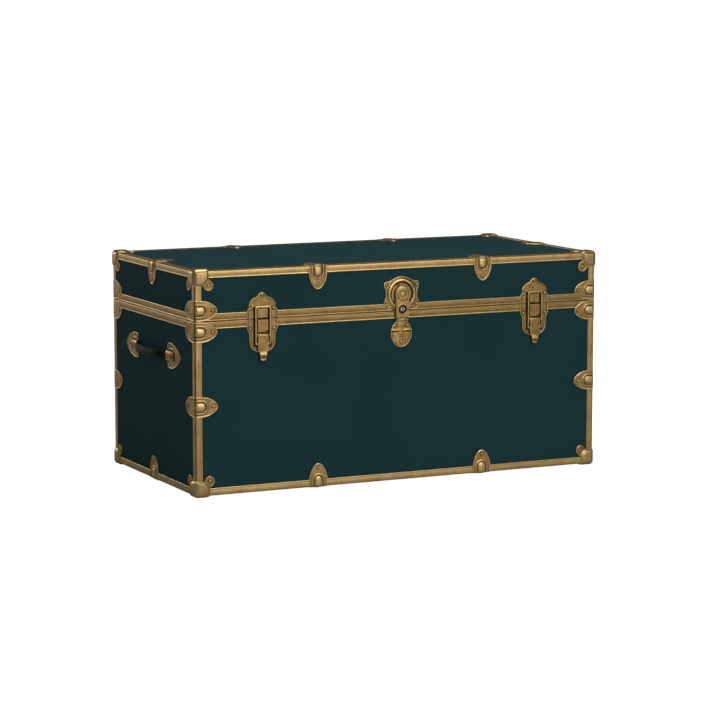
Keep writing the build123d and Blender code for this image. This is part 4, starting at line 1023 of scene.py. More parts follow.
def cap_group(name, node, body, top):
    g = Geo()
    for sx in (-1, 1):
        for sy in (-1, 1):
            zf = (lambda r: ZT - r) if top else (lambda r: Z0 + r)
            g.merge(CAP.copy_mapped(lambda p: np.stack([sx * (XO - p[:, 0]), sy * (YO - p[:, 1]), zf(p[:, 2] if top else np.maximum(p[:, 2], -PROUD + 0.02))], 1)))
            g.merge(EAR.copy_mapped(lambda p: np.stack([sx * (XO - p[:, 0]), sy * (YO + p[:, 2]), zf(p[:, 1])], 1)))
            g.merge(EAR.copy_mapped(lambda p: np.stack([sx * (XO + p[:, 2]), sy * (YO - p[:, 0]), zf(p[:, 1])], 1)))
            g.merge(EAR.copy_mapped(lambda p: np.stack([sx * (XO - p[:, 0]), sy * (YO - p[:, 1]), zf(-p[:, 2])], 1)))
    make(name, g, body, BRASS, (node,), sharp=50)


cap_group("lid_corner_caps_pressed", "lid_corner_caps", "lid", True)
cap_group("bottom_corner_caps_pressed", "bottom_corner_caps", "body", False)


# ------------------------------------------------------------------ nails
def nail_group(name, node, body):
    g = Geo()
    for lo, hi in solids_centres(node):
        size, c = hi - lo, (lo + hi) / 2
        k = int(np.argmax(size))
        # the shank points into the trunk, the head is the wide end
        sign = 1.0 if c[k] > (0 if k < 2 else (Z0 + ZT) / 2) else -1.0
        if node == "lid_nails" and k == 2:
            sign = 1.0
        if node == "body_nails" and k == 2:
            sign = -1.0
        face = hi[k] if sign > 0 else lo[k]
        seat = face - sign * 1.3
        other = [i for i in range(3) if i != k]

        def place(a, b, h, k=k, sign=sign, seat=seat, other=other, c=c):
            q = [None] * 3
            q[k] = seat + sign * h
            q[other[0]] = c[other[0]] + a
            q[other[1]] = c[other[1]] + b
            return np.stack([v + 0 * a for v in q], -1)

        prof = [(0, -1.6), (1.05, -1.6), (1.05, -0.25), (2.6, -0.25), (2.98, -0.1), (3.02, 0.12), (2.86, 0.42), (2.45, 0.80), (1.85, 1.08), (1.05, 1.25), (0.5, 1.29), (0, 1.30)]
        wear_and_highlight = [0, 0, 0, 0, 0.0, 0.1, 0.15, 0.2, 0.3, 0.4, 0.4, 0.4]
        dirt_and_shade = [0, 0, 0, 0.4, 0.7, 0.6, 0.25, 0.0, 0, 0, 0, 0]
        lathe(g, prof, place, 20, wear_and_highlight, dirt_and_shade)
    make(name, g, body, NAIL, (node,))


nail_group("lid_nail_heads", "lid_nails", "lid")
nail_group("body_nail_heads", "body_nails", "body")

# ------------------------------------------------------------------ draw bolts
UPPER = [(34.0, SEAM + 0.35), (34.1, 362.0), (33.8, 368.0), (32.2, 371.0), (30.0, 373.0), (29.7, 378.0), (28.0, 385.0), (23.5, 390.5),
         (17.5, 394.3), (11.5, 397.0), (8.3, 400.4), (5.0, 403.8), (0.0, 405.2)]
LOWER = [(34.0, SEAM - 0.35), (34.1, 342.0), (33.8, 334.0), (32.3, 329.6), (30.0, 325.5), (28.8, 318.0), (28.3, 307.0), (27.0, 299.0),
         (23.0, 292.3), (16.5, 287.6), (8.5, 284.6), (0.0, 283.4)]


def near_nail(x, z, spots):
    r = np.full(x.shape, 99.0)
    for a, b in spots:
        r = np.minimum(r, np.sqrt((x - a) ** 2 + (z - b) ** 2))
    return r


def plate_top(t, spots, bead=0.38):
    def fn(x, z, d):
        r = near_nail(x, z, spots)
        return t + bead * bell(d, 1.8, 0.8) - 0.22 * bell(d, 3.5, 0.9) - 0.22 * bell(r, 4.0, 0.7)
    return fn


def plate_wear(x, z, d, h):
    return np.clip(0.95 * bell(d, 1.3, 0.95), 0, 1)


def plate_dirt(spots):
    def fn(x, z, d, h):
        r = near_nail(x, z, spots)
        return np.clip(0.5 * bell(d, 3.6, 1.0) + 0.75 * bell(r, 3.9, 0.8), 0, 1)
    return fn


def pad(geo, x0, x1, z0, z1, h0, h1, r_edge, place, corner=1.0, wear_and_highlight=0.35, dome=0.0, step=0.8, z_top_r=None, extra=None):
    """Rounded rectangular pad raised off a plate."""
    hw, hz = (x1 - x0) / 2, (z1 - z0) / 2
    xc, zc = (x0 + x1) / 2, (z0 + z1) / 2
    c = corner
    outline = np.array([(hw - c, hz), (hw - c * 0.45, hz - c * 0.12), (hw - c * 0.12, hz - c * 0.45), (hw, hz - c)]
                       + [(hw, v) for v in np.linspace(hz - c, -hz + c, max(3, int((2 * hz - 2 * c) / step)))[1:-1]]
                       + [(hw, -hz + c), (hw - c * 0.12, -hz + c * 0.45), (hw - c * 0.45, -hz + c * 0.12), (hw - c, -hz)])

    def top(x, z, d):
        h = h1 + dome * (1 - (z / hz) ** 2)
        if extra is not None:
            h = h + extra(x, z, d)
        return h

    def place2(x, z, h):
        return place(x + xc, z + zc, h)

    stamp(geo, outline, place2, top, h0, step, (True, True), edge_r=r_edge,
          wear_and_highlight=lambda x, z, d, h: np.clip(0.85 * bell(d, 0.5, 0.9) + 0.0, 0, 1) * (wear_and_highlight / 0.35), dirt_and_shade=None)


STRIKE_SPOTS = [(0, 399.6), (25.2, 372.6), (-25.2, 372.6)]
BASE_SPOTS = [(25.6, 331.6), (-25.6, 331.6)]

for tag, xc in (("left", -BOLT_X), ("right", BOLT_X)):
    pl = front(xc)
    # strike plate on the lid, with the block the link rides over
    g = Geo()
    up = spline(UPPER, 0.9, mirror_end=True)
    slot_dirt = plate_dirt(STRIKE_SPOTS)
    # besides the nail and edge dirt, the dark values paint shade: bands beside the link's legs, a line under the link's
    # crossbar just above the block, and the slot along the seam below the block
    stamp(g, up, pl, plate_top(0.95, STRIKE_SPOTS), -0.97, 0.9, (True, False), end_r=0.4, wear_and_highlight=plate_wear,
          dirt_and_shade=lambda x, z, d, h: np.clip(slot_dirt(x, z, d, h) + 0.95 * step_up(np.abs(x), 10.5, 12.0) * (1 - step_up(np.abs(x), 18.5, 21.5)) * (z < 376.5)
                                         + 0.8 * bell(z, 373.6, 1.5) * (np.abs(x) < 14) + 0.95 * (1 - step_up(z, SEAM + 0.9, SEAM + 1.6)) * (np.abs(x) < 12), 0, 1))
    pad(g, -11.7, 11.7, SEAM + 0.9, 372.0, 0.5, 3.12, 1.7, pl, 1.0)
    # a folded lip runs along the top of the block
    pad(g, -11.5, 11.5, 369.9, 372.1, 0.6, 3.16, 0.9, pl, 0.6, wear_and_highlight=0.5)
    make(f"drawbolt_strike_{tag}_pressed", g, "lid", BRASS_BOLT_PAINTED_SHADE, (f"drawbolt_strike_{tag}",), sharp=50)

    # base plate on the body
    g = Geo()
    lowr = spline(LOWER, 0.9, mirror_end=True)
    sd = plate_dirt(BASE_SPOTS)
    # besides the nail and edge dirt, the dark values paint shade: bands beside the lever, the strip under the seam
    # above the boss, the slot between the boss and the lever barrel, and the plate under the lever
    stamp(g, lowr, pl, plate_top(0.95, BASE_SPOTS), -0.97, 0.9, (True, False), end_r=0.4, wear_and_highlight=plate_wear,
          dirt_and_shade=lambda x, z, d, h: np.clip(sd(x, z, d, h) + 0.95 * step_up(np.abs(x), 10.5, 12.0) * (1 - step_up(np.abs(x), 18.5, 21.5)) * step_up(z, 293, 298)
                                         + 0.95 * step_up(z, SEAM - 2.2, SEAM - 1.4) * (np.abs(x) < 12) + 0.95 * bell(z, 323.4, 1.8) * (np.abs(x) < 12.5)
                                         + 0.8 * (np.abs(x) < 13) * (z < 321) * step_up(z, 284, 290), 0, 1))
    notch = (8.2, 326.6)
    pad(g, -11.7, 11.7, 324.6, SEAM - 1.4, 0.5, 4.5, 1.1, pl, 0.9,
        extra=lambda x, z, d: -3.0 * (1 - step_up(np.maximum(np.abs(x - 8.4) / 2.1, np.abs(z + 11.2) / 1.9), 0.75, 1.05)))
    for s in (-1, 1):
        lug = [(LEVER[1] - 3.0 * math.cos(a), LEVER[2] + 3.0 * math.sin(a)) for a in np.linspace(-math.pi / 2, math.pi / 2, 13)]
        lug = [(-(YO + 0.6), LEVER[2] - 3.0)] + lug + [(-(YO + 0.6), LEVER[2] + 3.0)]
        prism(g, lug, lambda a, b, h: np.stack([h, a, b], -1), xc + s * 11.85, xc + s * 13.5, 0.3, wear_and_highlight=0.35)
    make(f"drawbolt_base_{tag}_pressed", g, "body", BRASS_BOLT_PAINTED_SHADE, (f"drawbolt_base_{tag}",), sharp=50)

    # lever: rolled barrel, broad plate, shoulders, curled finger tab
    g = Geo()
    yl = out_of(LEVER[1])
    rod(g, 2.35, xc - 11.4, xc + 11.4, LEVER[1], LEVER[2], wear_and_highlight=0.45, round_end=0.35)
    path = [(4.9, 320.9), (4.95, 318.0), (4.95, 312.0), (4.95, 303.0), (4.95, 294.0), (4.95, 288.6), (5.3, 284.4), (5.75, 280.6), (5.35, 276.6), (4.9, 273.6), (5.4, 271.2), (7.0, 269.7), (8.7, 269.4), (9.7, 269.7)]
    line = spline([(o, z) for o, z in path], 0.75)
    tang = np.gradient(line, axis=0)
    tang /= np.linalg.norm(tang, axis=1, keepdims=True)
    nrm = np.stack([-tang[:, 1], tang[:, 0]], 1)
    if nrm[0, 0] < 0:
        nrm = -nrm
    sl = np.concatenate([[0], np.cumsum(np.linalg.norm(np.diff(line, axis=0), axis=1))])
    total = sl[-1]
    zz = line[:, 1]
    width = 11.35 - 3.5 * step_up(-zz, -289.0, -284.8) - 2.3 * step_up(-zz, -283.0, -270.0)
    width = np.where(sl > total - 2.2, width - 2.2 * (1 - np.sqrt(np.clip(1 - ((sl - total + 2.2) / 2.2) ** 2, 0, 1))), width)
    width = np.where(sl < 1.0, width - 0.5 * (1 - sl), width)
    cols = np.unique(np.concatenate([np.linspace(-1, 1, 25), [-0.985, 0.985, -0.95, 0.95]]))
    xg = width[:, None] * cols
    dd = np.minimum(width[:, None] - np.abs(xg), np.minimum(sl, total - sl)[:, None] + 0.0)
    half = 0.78 * (0.35 + 0.65 * rounded(dd, 0.8))
    crown = 0.20 * (1 - (xg / 11.4) ** 2)
    top = np.stack([xc + xg, -(YO + line[:, 0][:, None] + nrm[:, 0][:, None] * (half + crown)), zz[:, None] + nrm[:, 1][:, None] * (half + crown)], -1)
    bot = np.stack([xc + xg, -(YO + line[:, 0][:, None] - nrm[:, 0][:, None] * half), zz[:, None] - nrm[:, 1][:, None] * half], -1)
    # wv: rubbed edges and end lip plus a painted highlight band across the tab's bulge; dv: painted shade across the
    # crease of the curled tab
    wv = np.clip(0.9 * bell(dd, 0.4, 0.7) + 0.6 * (bell(zz, 281.0, 3.0) + step_up(-zz, -272.0, -269.8))[:, None], 0, 1)
    dv = np.broadcast_to(np.clip(0.8 * bell(zz, 274.2, 1.6) * (sl < total - 6), 0, 1)[:, None], xg.shape)
    g.grid(top, bot, wv, dv)
    for s in (-1, 1):
        cheek = [(-(YO + 4.5), 308.0), (-(YO + 4.5), 298.0), (-(YO + 2.6), 298.4), (-(YO + 1.45), 300.2), (-(YO + 1.3), 303.0), (-(YO + 1.6), 305.6), (-(YO + 3.0), 307.8)]
        prism(g, cheek, lambda a, b, h: np.stack([h, a, b], -1), xc + s * 9.5, xc + s * 11.35, 0.25, wear_and_highlight=0.3)
    make(f"drawbolt_lever_{tag}_formed", g, f"drawbolt_lever_{tag}", BRASS_BOLT_PAINTED_SHADE, (f"drawbolt_lever_{tag}",), sharp=50)

    # link: bent flat wire
    g = Geo()
    ymid = 4.55
    pts = []
    right = [(11.9, 2.9, LINK[2] - 2.2), (13.0, 2.9, LINK[2] - 2.0), (14.5, 3.0, LINK[2] - 0.8), (15.5, 3.3, LINK[2] + 2.0), (15.72, 3.9, LINK[2] + 6.5), (15.72, 4.4, LINK[2] + 10.5), (15.72, ymid, LINK[2] + 15)]
    for x, o, z in right:
        pts.append((x, o, z))
    for z in np.linspace(LINK[2] + 20, 372.2, 12):
        pts.append((15.72, ymid, z))
    for a in range(1, 7):
        t = math.radians(15 * a)
        pts.append((15.72 - 3.6 * (1 - math.cos(t)), ymid, 372.4 + 3.6 * math.sin(t)))
    for x in np.linspace(10.5, -10.5, 12):
        pts.append((x, ymid, 376.0))
    left = [(-x, o, z) for x, o, z in pts[:len(pts) - 12]][::-1]
    pts = pts + left
    path3 = [(xc + x, -(YO + o), z) for x, o, z in pts]
    sec = soft_rect(1.68, 1.08, 0.5, 3)
    sweep(g, path3, (0, -1, 0), sec, wear_and_highlight=[0.35 if abs(b) < 0.9 else 0.55 for a, b in sec] * len(path3))
    for s in (-1, 1):
        rod(g, 1.1, xc + s * 9.7, xc + s * 14.6, LINK[1], LINK[2], 16, 0.2, 0.15)
    make(f"drawbolt_link_{tag}_bent", g, f"drawbolt_link_{tag}", BRASS_SMOOTH_PAINTED_SHADE, (f"drawbolt_link_{tag}",), sharp=45)

# ------------------------------------------------------------------ centre lock
SHIELD = [(0.0, 422.6), (9.0, 421.6), (17.4, 418.4), (24.8, 414.4), (31.0, 412.8), (37.2, 411.8), (40.2, 408.5), (39.4, 402.0), (37.1, 395.0),
          (36.2, 387.0), (37.1, 379.0), (39.6, 372.0), (40.3, 366.5), (39.0, 360.5), (34.2, 356.0), (28.0, 353.6), (22.0, SEAM + 0.9)]
LOCK_Z = 386.5
SHIELD_SPOTS = [(34.8, 405.4), (-34.8, 405.4), (34.6, 364.6), (-34.6, 364.6)]
shield = spline(SHIELD, 0.9, mirror_start=True)


def ring_r(x, z):
    return np.sqrt(x ** 2 + (z - LOCK_Z) ** 2)


def shield_top(x, z, d):
    r = ring_r(x, z)
    h = plate_top(0.95, SHIELD_SPOTS)(x, z, d)
    side = 1.0 + 1.5 * np.maximum(step_up(np.abs(x), 16.5, 22.0), step_up(z, LOCK_Z + 12, LOCK_Z + 18))
    ring = np.clip(1 - ((r - 28.2) / 3.9) ** 2, 0, 1) ** 0.6
    h = h + 1.05 * ring * side
    h = h + 0.30 * bell(r, 33.6, 0.8)
    inside = 1 - step_up(r, 22.5, 24.6)
    h = h * (1 - inside) + inside * (0.55 + 0.25 * bell(r, 20.8, 0.9) + 0.15 * bell(r, 17.0, 0.8))
    return h


shield_dirt0 = plate_dirt(SHIELD_SPOTS)
g = Geo()
# besides the nail, edge and groove dirt, the dark values paint shade: a shadow inside the ring wall, heavier on the
# right, a shadow spot inside the ring at the upper left, a faint darkening of the whole recess, and shadows beside the
# hasp below the centre
stamp(g, shield, front(0.0), shield_top, -0.97, 0.62, (False, True),
      wear_and_highlight=lambda x, z, d, h: np.clip(plate_wear(x, z, d, h) + 0.95 * bell(ring_r(x, z), 28.6, 2.2) + 0.4 * bell(ring_r(x, z), 20.8, 0.8), 0, 1),
      dirt_and_shade=lambda x, z, d, h: np.clip(shield_dirt0(x, z, d, h) + 1.1 * bell(ring_r(x, z), 23.2, 1.6) * (0.45 + 0.55 * step_up(x + 0.4 * (z - LOCK_Z), -6.0, 6.0)) + 0.45 * bell(ring_r(x, z), 32.4, 0.8)
                                     + 0.12 * (ring_r(x, z) < 23) + 1.2 * bell(np.sqrt((x + 8.5) ** 2 + (z - LOCK_Z - 19.5) ** 2), 0, 4.0) + 0.5 * bell(np.abs(x), 15.8, 1.6) * (z < LOCK_Z), 0, 1))
make("lock_shield_plate_pressed", g, "lid", BRASS, ("lock_shield_plate",), sharp=55)

EGG = [(12.5, 331.0), (15.0, 328.0), (19.5, 322.5), (22.9, 316.0), (24.3, 308.5), (23.8, 300.0), (20.6, 291.0), (15.0, 283.4), (8.0, 278.6), (0.0, 277.0)]
egg = spline(EGG, 0.8, mirror_end=True)
EGG_SPOTS = [(13.4, 321.0), (-13.4, 321.0), (0, 288.0)]


def egg_top(x, z, d):
    h = plate_top(0.95, EGG_SPOTS)(x, z, d)
    ax = np.abs(x)
    lens = np.clip(1 - ((ax - 14.2) / 9.3) ** 2, 0, 1)
    h = h + 1.0 * lens * bell(z, 312.6, 1.25)
    h = h - 0.9 * lens * bell(z, 309.6, 0.95)
    sh = np.clip(1 - ((x) / 8.5) ** 2, 0, 1)
    h = h + 0.35 * sh * step_up(z, 296, 304) * (1 - step_up(z, 322, 328))
    return h


egg_dirt0 = plate_dirt(EGG_SPOTS)
g = Geo()
stamp(g, egg, front(0.0), egg_top, -0.97, 0.62, (True, False),
      wear_and_highlight=lambda x, z, d, h: np.clip(plate_wear(x, z, d, h) + 0.9 * bell(z, 312.8, 0.9) * (np.abs(np.abs(x) - 14.2) < 9.0), 0, 1),
      dirt_and_shade=lambda x, z, d, h: np.clip(egg_dirt0(x, z, d, h) + 1.15 * bell(z, 309.5, 1.25) * (np.abs(np.abs(x) - 14.2) < 9.0), 0, 1))
for s in (-1, 1):
    lug = [(HASP[1] - 2.3 * math.cos(a), HASP[2] + 2.3 * math.sin(a)) for a in np.linspace(-math.pi / 2, math.pi / 2, 11)]
    lug = [(-(YO + 0.6), HASP[2] - 3.2)] + [(HASP[1], HASP[2] - 3.2)] + lug + [(-(YO + 0.6), HASP[2] + 2.3)]
    prism(g, lug, lambda a, b, h: np.stack([h, a, b], -1), s * 9.95, s * 13.9, 0.3, wear_and_highlight=0.4)
make("lock_lower_plate_pressed", g, "body", BRASS, ("lock_lower_plate",), sharp=55)

# hasp: keyhole-shaped case with a round head
g = Geo()
HW, HR, CASE = 15.0, 16.4, 6.9
head = [(HR * math.sin(math.radians(a)), LOCK_Z + HR * math.cos(math.radians(a))) for a in range(0, 101, 5)]
body_edge = [(15.15, z) for z in np.arange(LOCK_Z - 8.4, 341.0, -0.9)]
foot = [(15.0, 339.8), (14.6, 338.8), (13.8, 338.1), (12.8, 337.9)]
hasp_outline = np.array(head + [(15.7, LOCK_Z - 4.8), (15.3, LOCK_Z - 6.8)] + body_edge + foot)
fine = [hasp_outline[0]]
for p in hasp_outline[1:]:
    a = fine[-1]
    k = max(1, int(np.linalg.norm(p - a) / 0.75))
    for i in range(1, k + 1):
        fine.append(a + (p - a) * i / k)
hasp_outline = np.array(fine)


def head_r(x, z):
    return np.sqrt(x ** 2 + (z - LOCK_Z) ** 2)


def key_r(x, z):
    return np.sqrt(x ** 2 + (z - CYL[2]) ** 2)


def hasp_top(x, z, d):
    r, k = head_r(x, z), key_r(x, z)
    h = np.full(x.shape, CASE)
    h = h + 0.25 * bell(d, 1.5, 0.7) - 0.10 * bell(d, 2.8, 0.7)
    # medallion: raised disc, ring and plain boss
    h = h + 0.66 * (1 - step_up(r, 13.2, 14.1))
    h = h - 0.42 * bell(r, 12.0, 0.6) + 0.22 * bell(r, 10.8, 0.5)
    petals = 0.5 + 0.5 * np.cos(12 * np.arctan2(x, z - LOCK_Z))
    h = h - 0.22 * petals * bell(r, 7.6, 1.2)
    h = h - 0.30 * bell(r, 5.2, 0.5) + 0.25 * (1 - step_up(r, 3.2, 4.6))
    # key well
    well = 1 - step_up(k, 8.6, 9.4)
    h = h * (1 - well) + well * 4.2
    pit = 1 - step_up(k, 6.55, 6.75)
    h = h * (1 - pit) + pit * 2.70
    h = h + 0.30 * bell(k, 10.0, 0.6) * (z < LOCK_Z - 12)
    return h


stamp(g, hasp_outline, front(0.0), hasp_top, 2.62, 0.48, (False, True), edge_r=1.3,
      wear_and_highlight=lambda x, z, d, h: np.clip(0.95 * bell(d, 0.9, 0.9) + 0.9 * bell(head_r(x, z), 13.3, 0.6) + 0.5 * bell(head_r(x, z), 10.8, 0.5)
                                     + 0.5 * bell(key_r(x, z), 9.9, 0.6) + 0.5 * bell(head_r(x, z), 0, 2.6), 0, 1),
      dirt_and_shade=lambda x, z, d, h: np.clip(1.0 * (1 - step_up(key_r(x, z), 8.4, 9.3)) + 1.0 * bell(head_r(x, z), 12.0, 0.7) + 0.7 * bell(head_r(x, z), 5.2, 0.6)
                                     + 0.8 * bell(head_r(x, z), 14.5, 0.6) + 0.55 * (0.5 + 0.5 * np.cos(12 * np.arctan2(x, z - LOCK_Z))) * bell(head_r(x, z), 7.6, 1.1), 0, 1))
pad(g, -9.5, 9.5, HASP[2], 341.5, 1.95, 4.9, 0.8, front(0.0), 0.6)
rod(g, 2.28, -9.55, 9.55, HASP[1], HASP[2], 28, 0.5)
make("lock_hasp_pressed", g, "lock_hasp", BRASS, ("lock_hasp",), sharp=50)

# key cylinder: plug with a bright rim, and a near-black insert over the keyway: painted shade standing in for the dark
# inside the slot
g = Geo()


def key_place(a, b, h):
    return np.stack([a, -(YO + h), CYL[2] + b], -1)


lathe(g, [(0, 2.8), (6.3, 2.8), (6.42, 2.95), (6.42, 4.9), (6.25, 5.2), (5.7, 5.35), (5.35, 5.15), (5.1, 4.75), (4.95, 4.8), (4.75, 5.9), (4.4, 6.3), (0, 6.35)], key_place, 48,
      [0, 0, 0.2, 0.4, 0.6, 0.6, 0.2, 0, 0.2, 0.8, 1, 0.4], [0, 0, 0.9, 0.95, 0.95, 0.95, 1, 1, 0.95, 0.2, 0.0, 0.0])
make("lock_key_plug", g, "lock_key_cylinder", NICKEL, ("lock_key_cylinder",), sharp=30)
g = Geo()
for poly in ([(-1.7, -4.2), (1.7, -4.2), (1.7, -1.2), (2.5, -0.6), (2.5, 0.9), (1.7, 1.5), (1.7, 3.4), (0.7, 4.3), (-0.7, 4.3), (-1.7, 3.4)],):
    prism(g, poly, lambda a, b, h: np.stack([a, -(YO + h), CYL[2] + b], -1), 4.9, 6.40, 0.03, 0.0, 1.0)
make("lock_keyway", g, "lock_key_cylinder", KEYWAY_SHADE, (), sharp=30)


# ------------------------------------------------------------------ side handles
HALF_CAP = [(11.6, 82.0), (14.4, 82.9), (16.4, 84.6), (18.8, 83.2), (22.0, 83.0), (24.6, 84.8), (26.1, 88.4), (26.6, 93.0), (26.8, 98.0), (26.0, 105.0), (24.4, 112.5), (22.1, 120.0), (19.0, 127.6),
            (14.9, 135.2), (9.8, 142.4), (4.8, 147.6), (0.0, 149.8)]
cap_half = spline(HALF_CAP, 0.8)
GZ = GRIP[2]
CAPB = XC - XO          # covering plane, as a height out of the trim plane


def pocket(x, y):
    """Height of the pocket's skin above the cap's flange."""
    along = np.sqrt(np.clip(1 - np.clip((y - 98.0) / 21.0, 0, 1) ** 2.4, 0, 1))
    hw = 11.7 - 2.2 * step_up(y, 98, 119)
    across = np.clip(1 - np.abs(x / hw) ** 3.6, 0, 1) ** 0.6
    return 5.2 * along * across


def hc_top(x, y, d):
    h = CAPB + 1.55 + pocket(x, y)
    spots = near_nail(x, y, [(19.0, 88.5), (-19.0, 88.5), (0, 131.0)])
    outside = (np.abs(x) > 12.6) | (y > 122)
    h = h + 0.50 * np.clip(1 - ((d - 1.5) / 1.4) ** 2, 0, 1) * outside - 0.22 * bell(spots, 4.0, 0.7)
    # a raised collar runs round the pocket
    hw = 14.0 + 0 * y
    ring = np.abs(np.sqrt((x / hw) ** 2 + (np.maximum(y - 101.0, 0) / 22.5) ** 2) - 1) * 14.0
    h = h + 0.55 * np.clip(1 - (ring / 1.5) ** 2, 0, 1) * (d > 1.0)
    return h


def hc_base(x, y, d):
    p = pocket(x, y)
    return np.where((p > 1.6) & (np.abs(x) < 11.4), CAPB + 0.35 + p, CAPB + 0.03)


def handle_caps(side, sx):
    g = Geo()
    for s in (-1, 1):
        def place(x, y, h, s=s):
            return np.stack([sx * (XO + h), s * y, GZ + x], -1)
        # on the pocket, the shoulders carry a painted highlight through the wear values, the face is darkened as
        # painted shade, and the dark band across its far end is a painted shadow; the rest is rubbed edges and dirt
        # round the nails and at the pocket's foot
        stamp(g, cap_half, place, hc_top, hc_base, 0.7, (True, False), edge_r=0.9,
              wear_and_highlight=lambda x, y, d, h: np.clip(0.9 * bell(d, 1.3, 1.0) * (np.abs(x) > 11.8) + 0.5 * bell(np.abs(x), 8.0, 2.4) * (pocket(x, y) > 2.2) + 0.95 * bell(y, 83.0, 1.3), 0, 1),
              dirt_and_shade=lambda x, y, d, h: np.clip(0.75 * bell(pocket(x, y), 0.7, 0.9) * (d > 2.2) * (np.abs(x) < 13.5) * (y < 121) + 0.8 * bell(near_nail(x, y, [(19.0, 88.5), (-19.0, 88.5), (0, 131.0)]), 3.9, 0.9)
                                             + 0.5 * bell(d, 3.5, 1.0) + 0.35 * (pocket(x, y) > 3.0) * (y > 85) + 0.9 * bell(y, 119.5, 1.6) * (np.abs(x) < 10), 0, 1))
    make(f"handle_caps_{side}_pressed", g, "body", BRASS, (f"handle_caps_{side}",), sharp=55)


handle_caps("left", -1)
handle_caps("right", 1)

# leather straps: a flat core between two skins, thicker in the middle, drawn in to the pockets
STRAP = [(-110.0, 3.3), (-96.0, 3.3), (-82.0, 4.4), (-66.0, 11.6), (-48.0, 17.4), (-25.0, 20.8), (0.0, 21.8), (25.0, 20.8), (48.0, 17.4), (66.0, 11.6), (82.0, 4.4), (96.0, 3.3), (110.0, 3.3)]
centre = spline(STRAP, 1.1)


def strap_height(y):
    a = np.abs(y)
    return 8.6 - 0.3 * step_up(a, 60, 92) + 0.15 * np.cos(y * 0.05)


def strap_sag(y):
    """The stiff strap bows up very slightly between its ends."""
    return 0.8 * np.clip(1 - (np.asarray(y) / 88.0) ** 2, 0, 1)


def strap_thick(y):
    a = np.abs(y)
    return 2.35 - 0.75 * step_up(a, 40, 82)


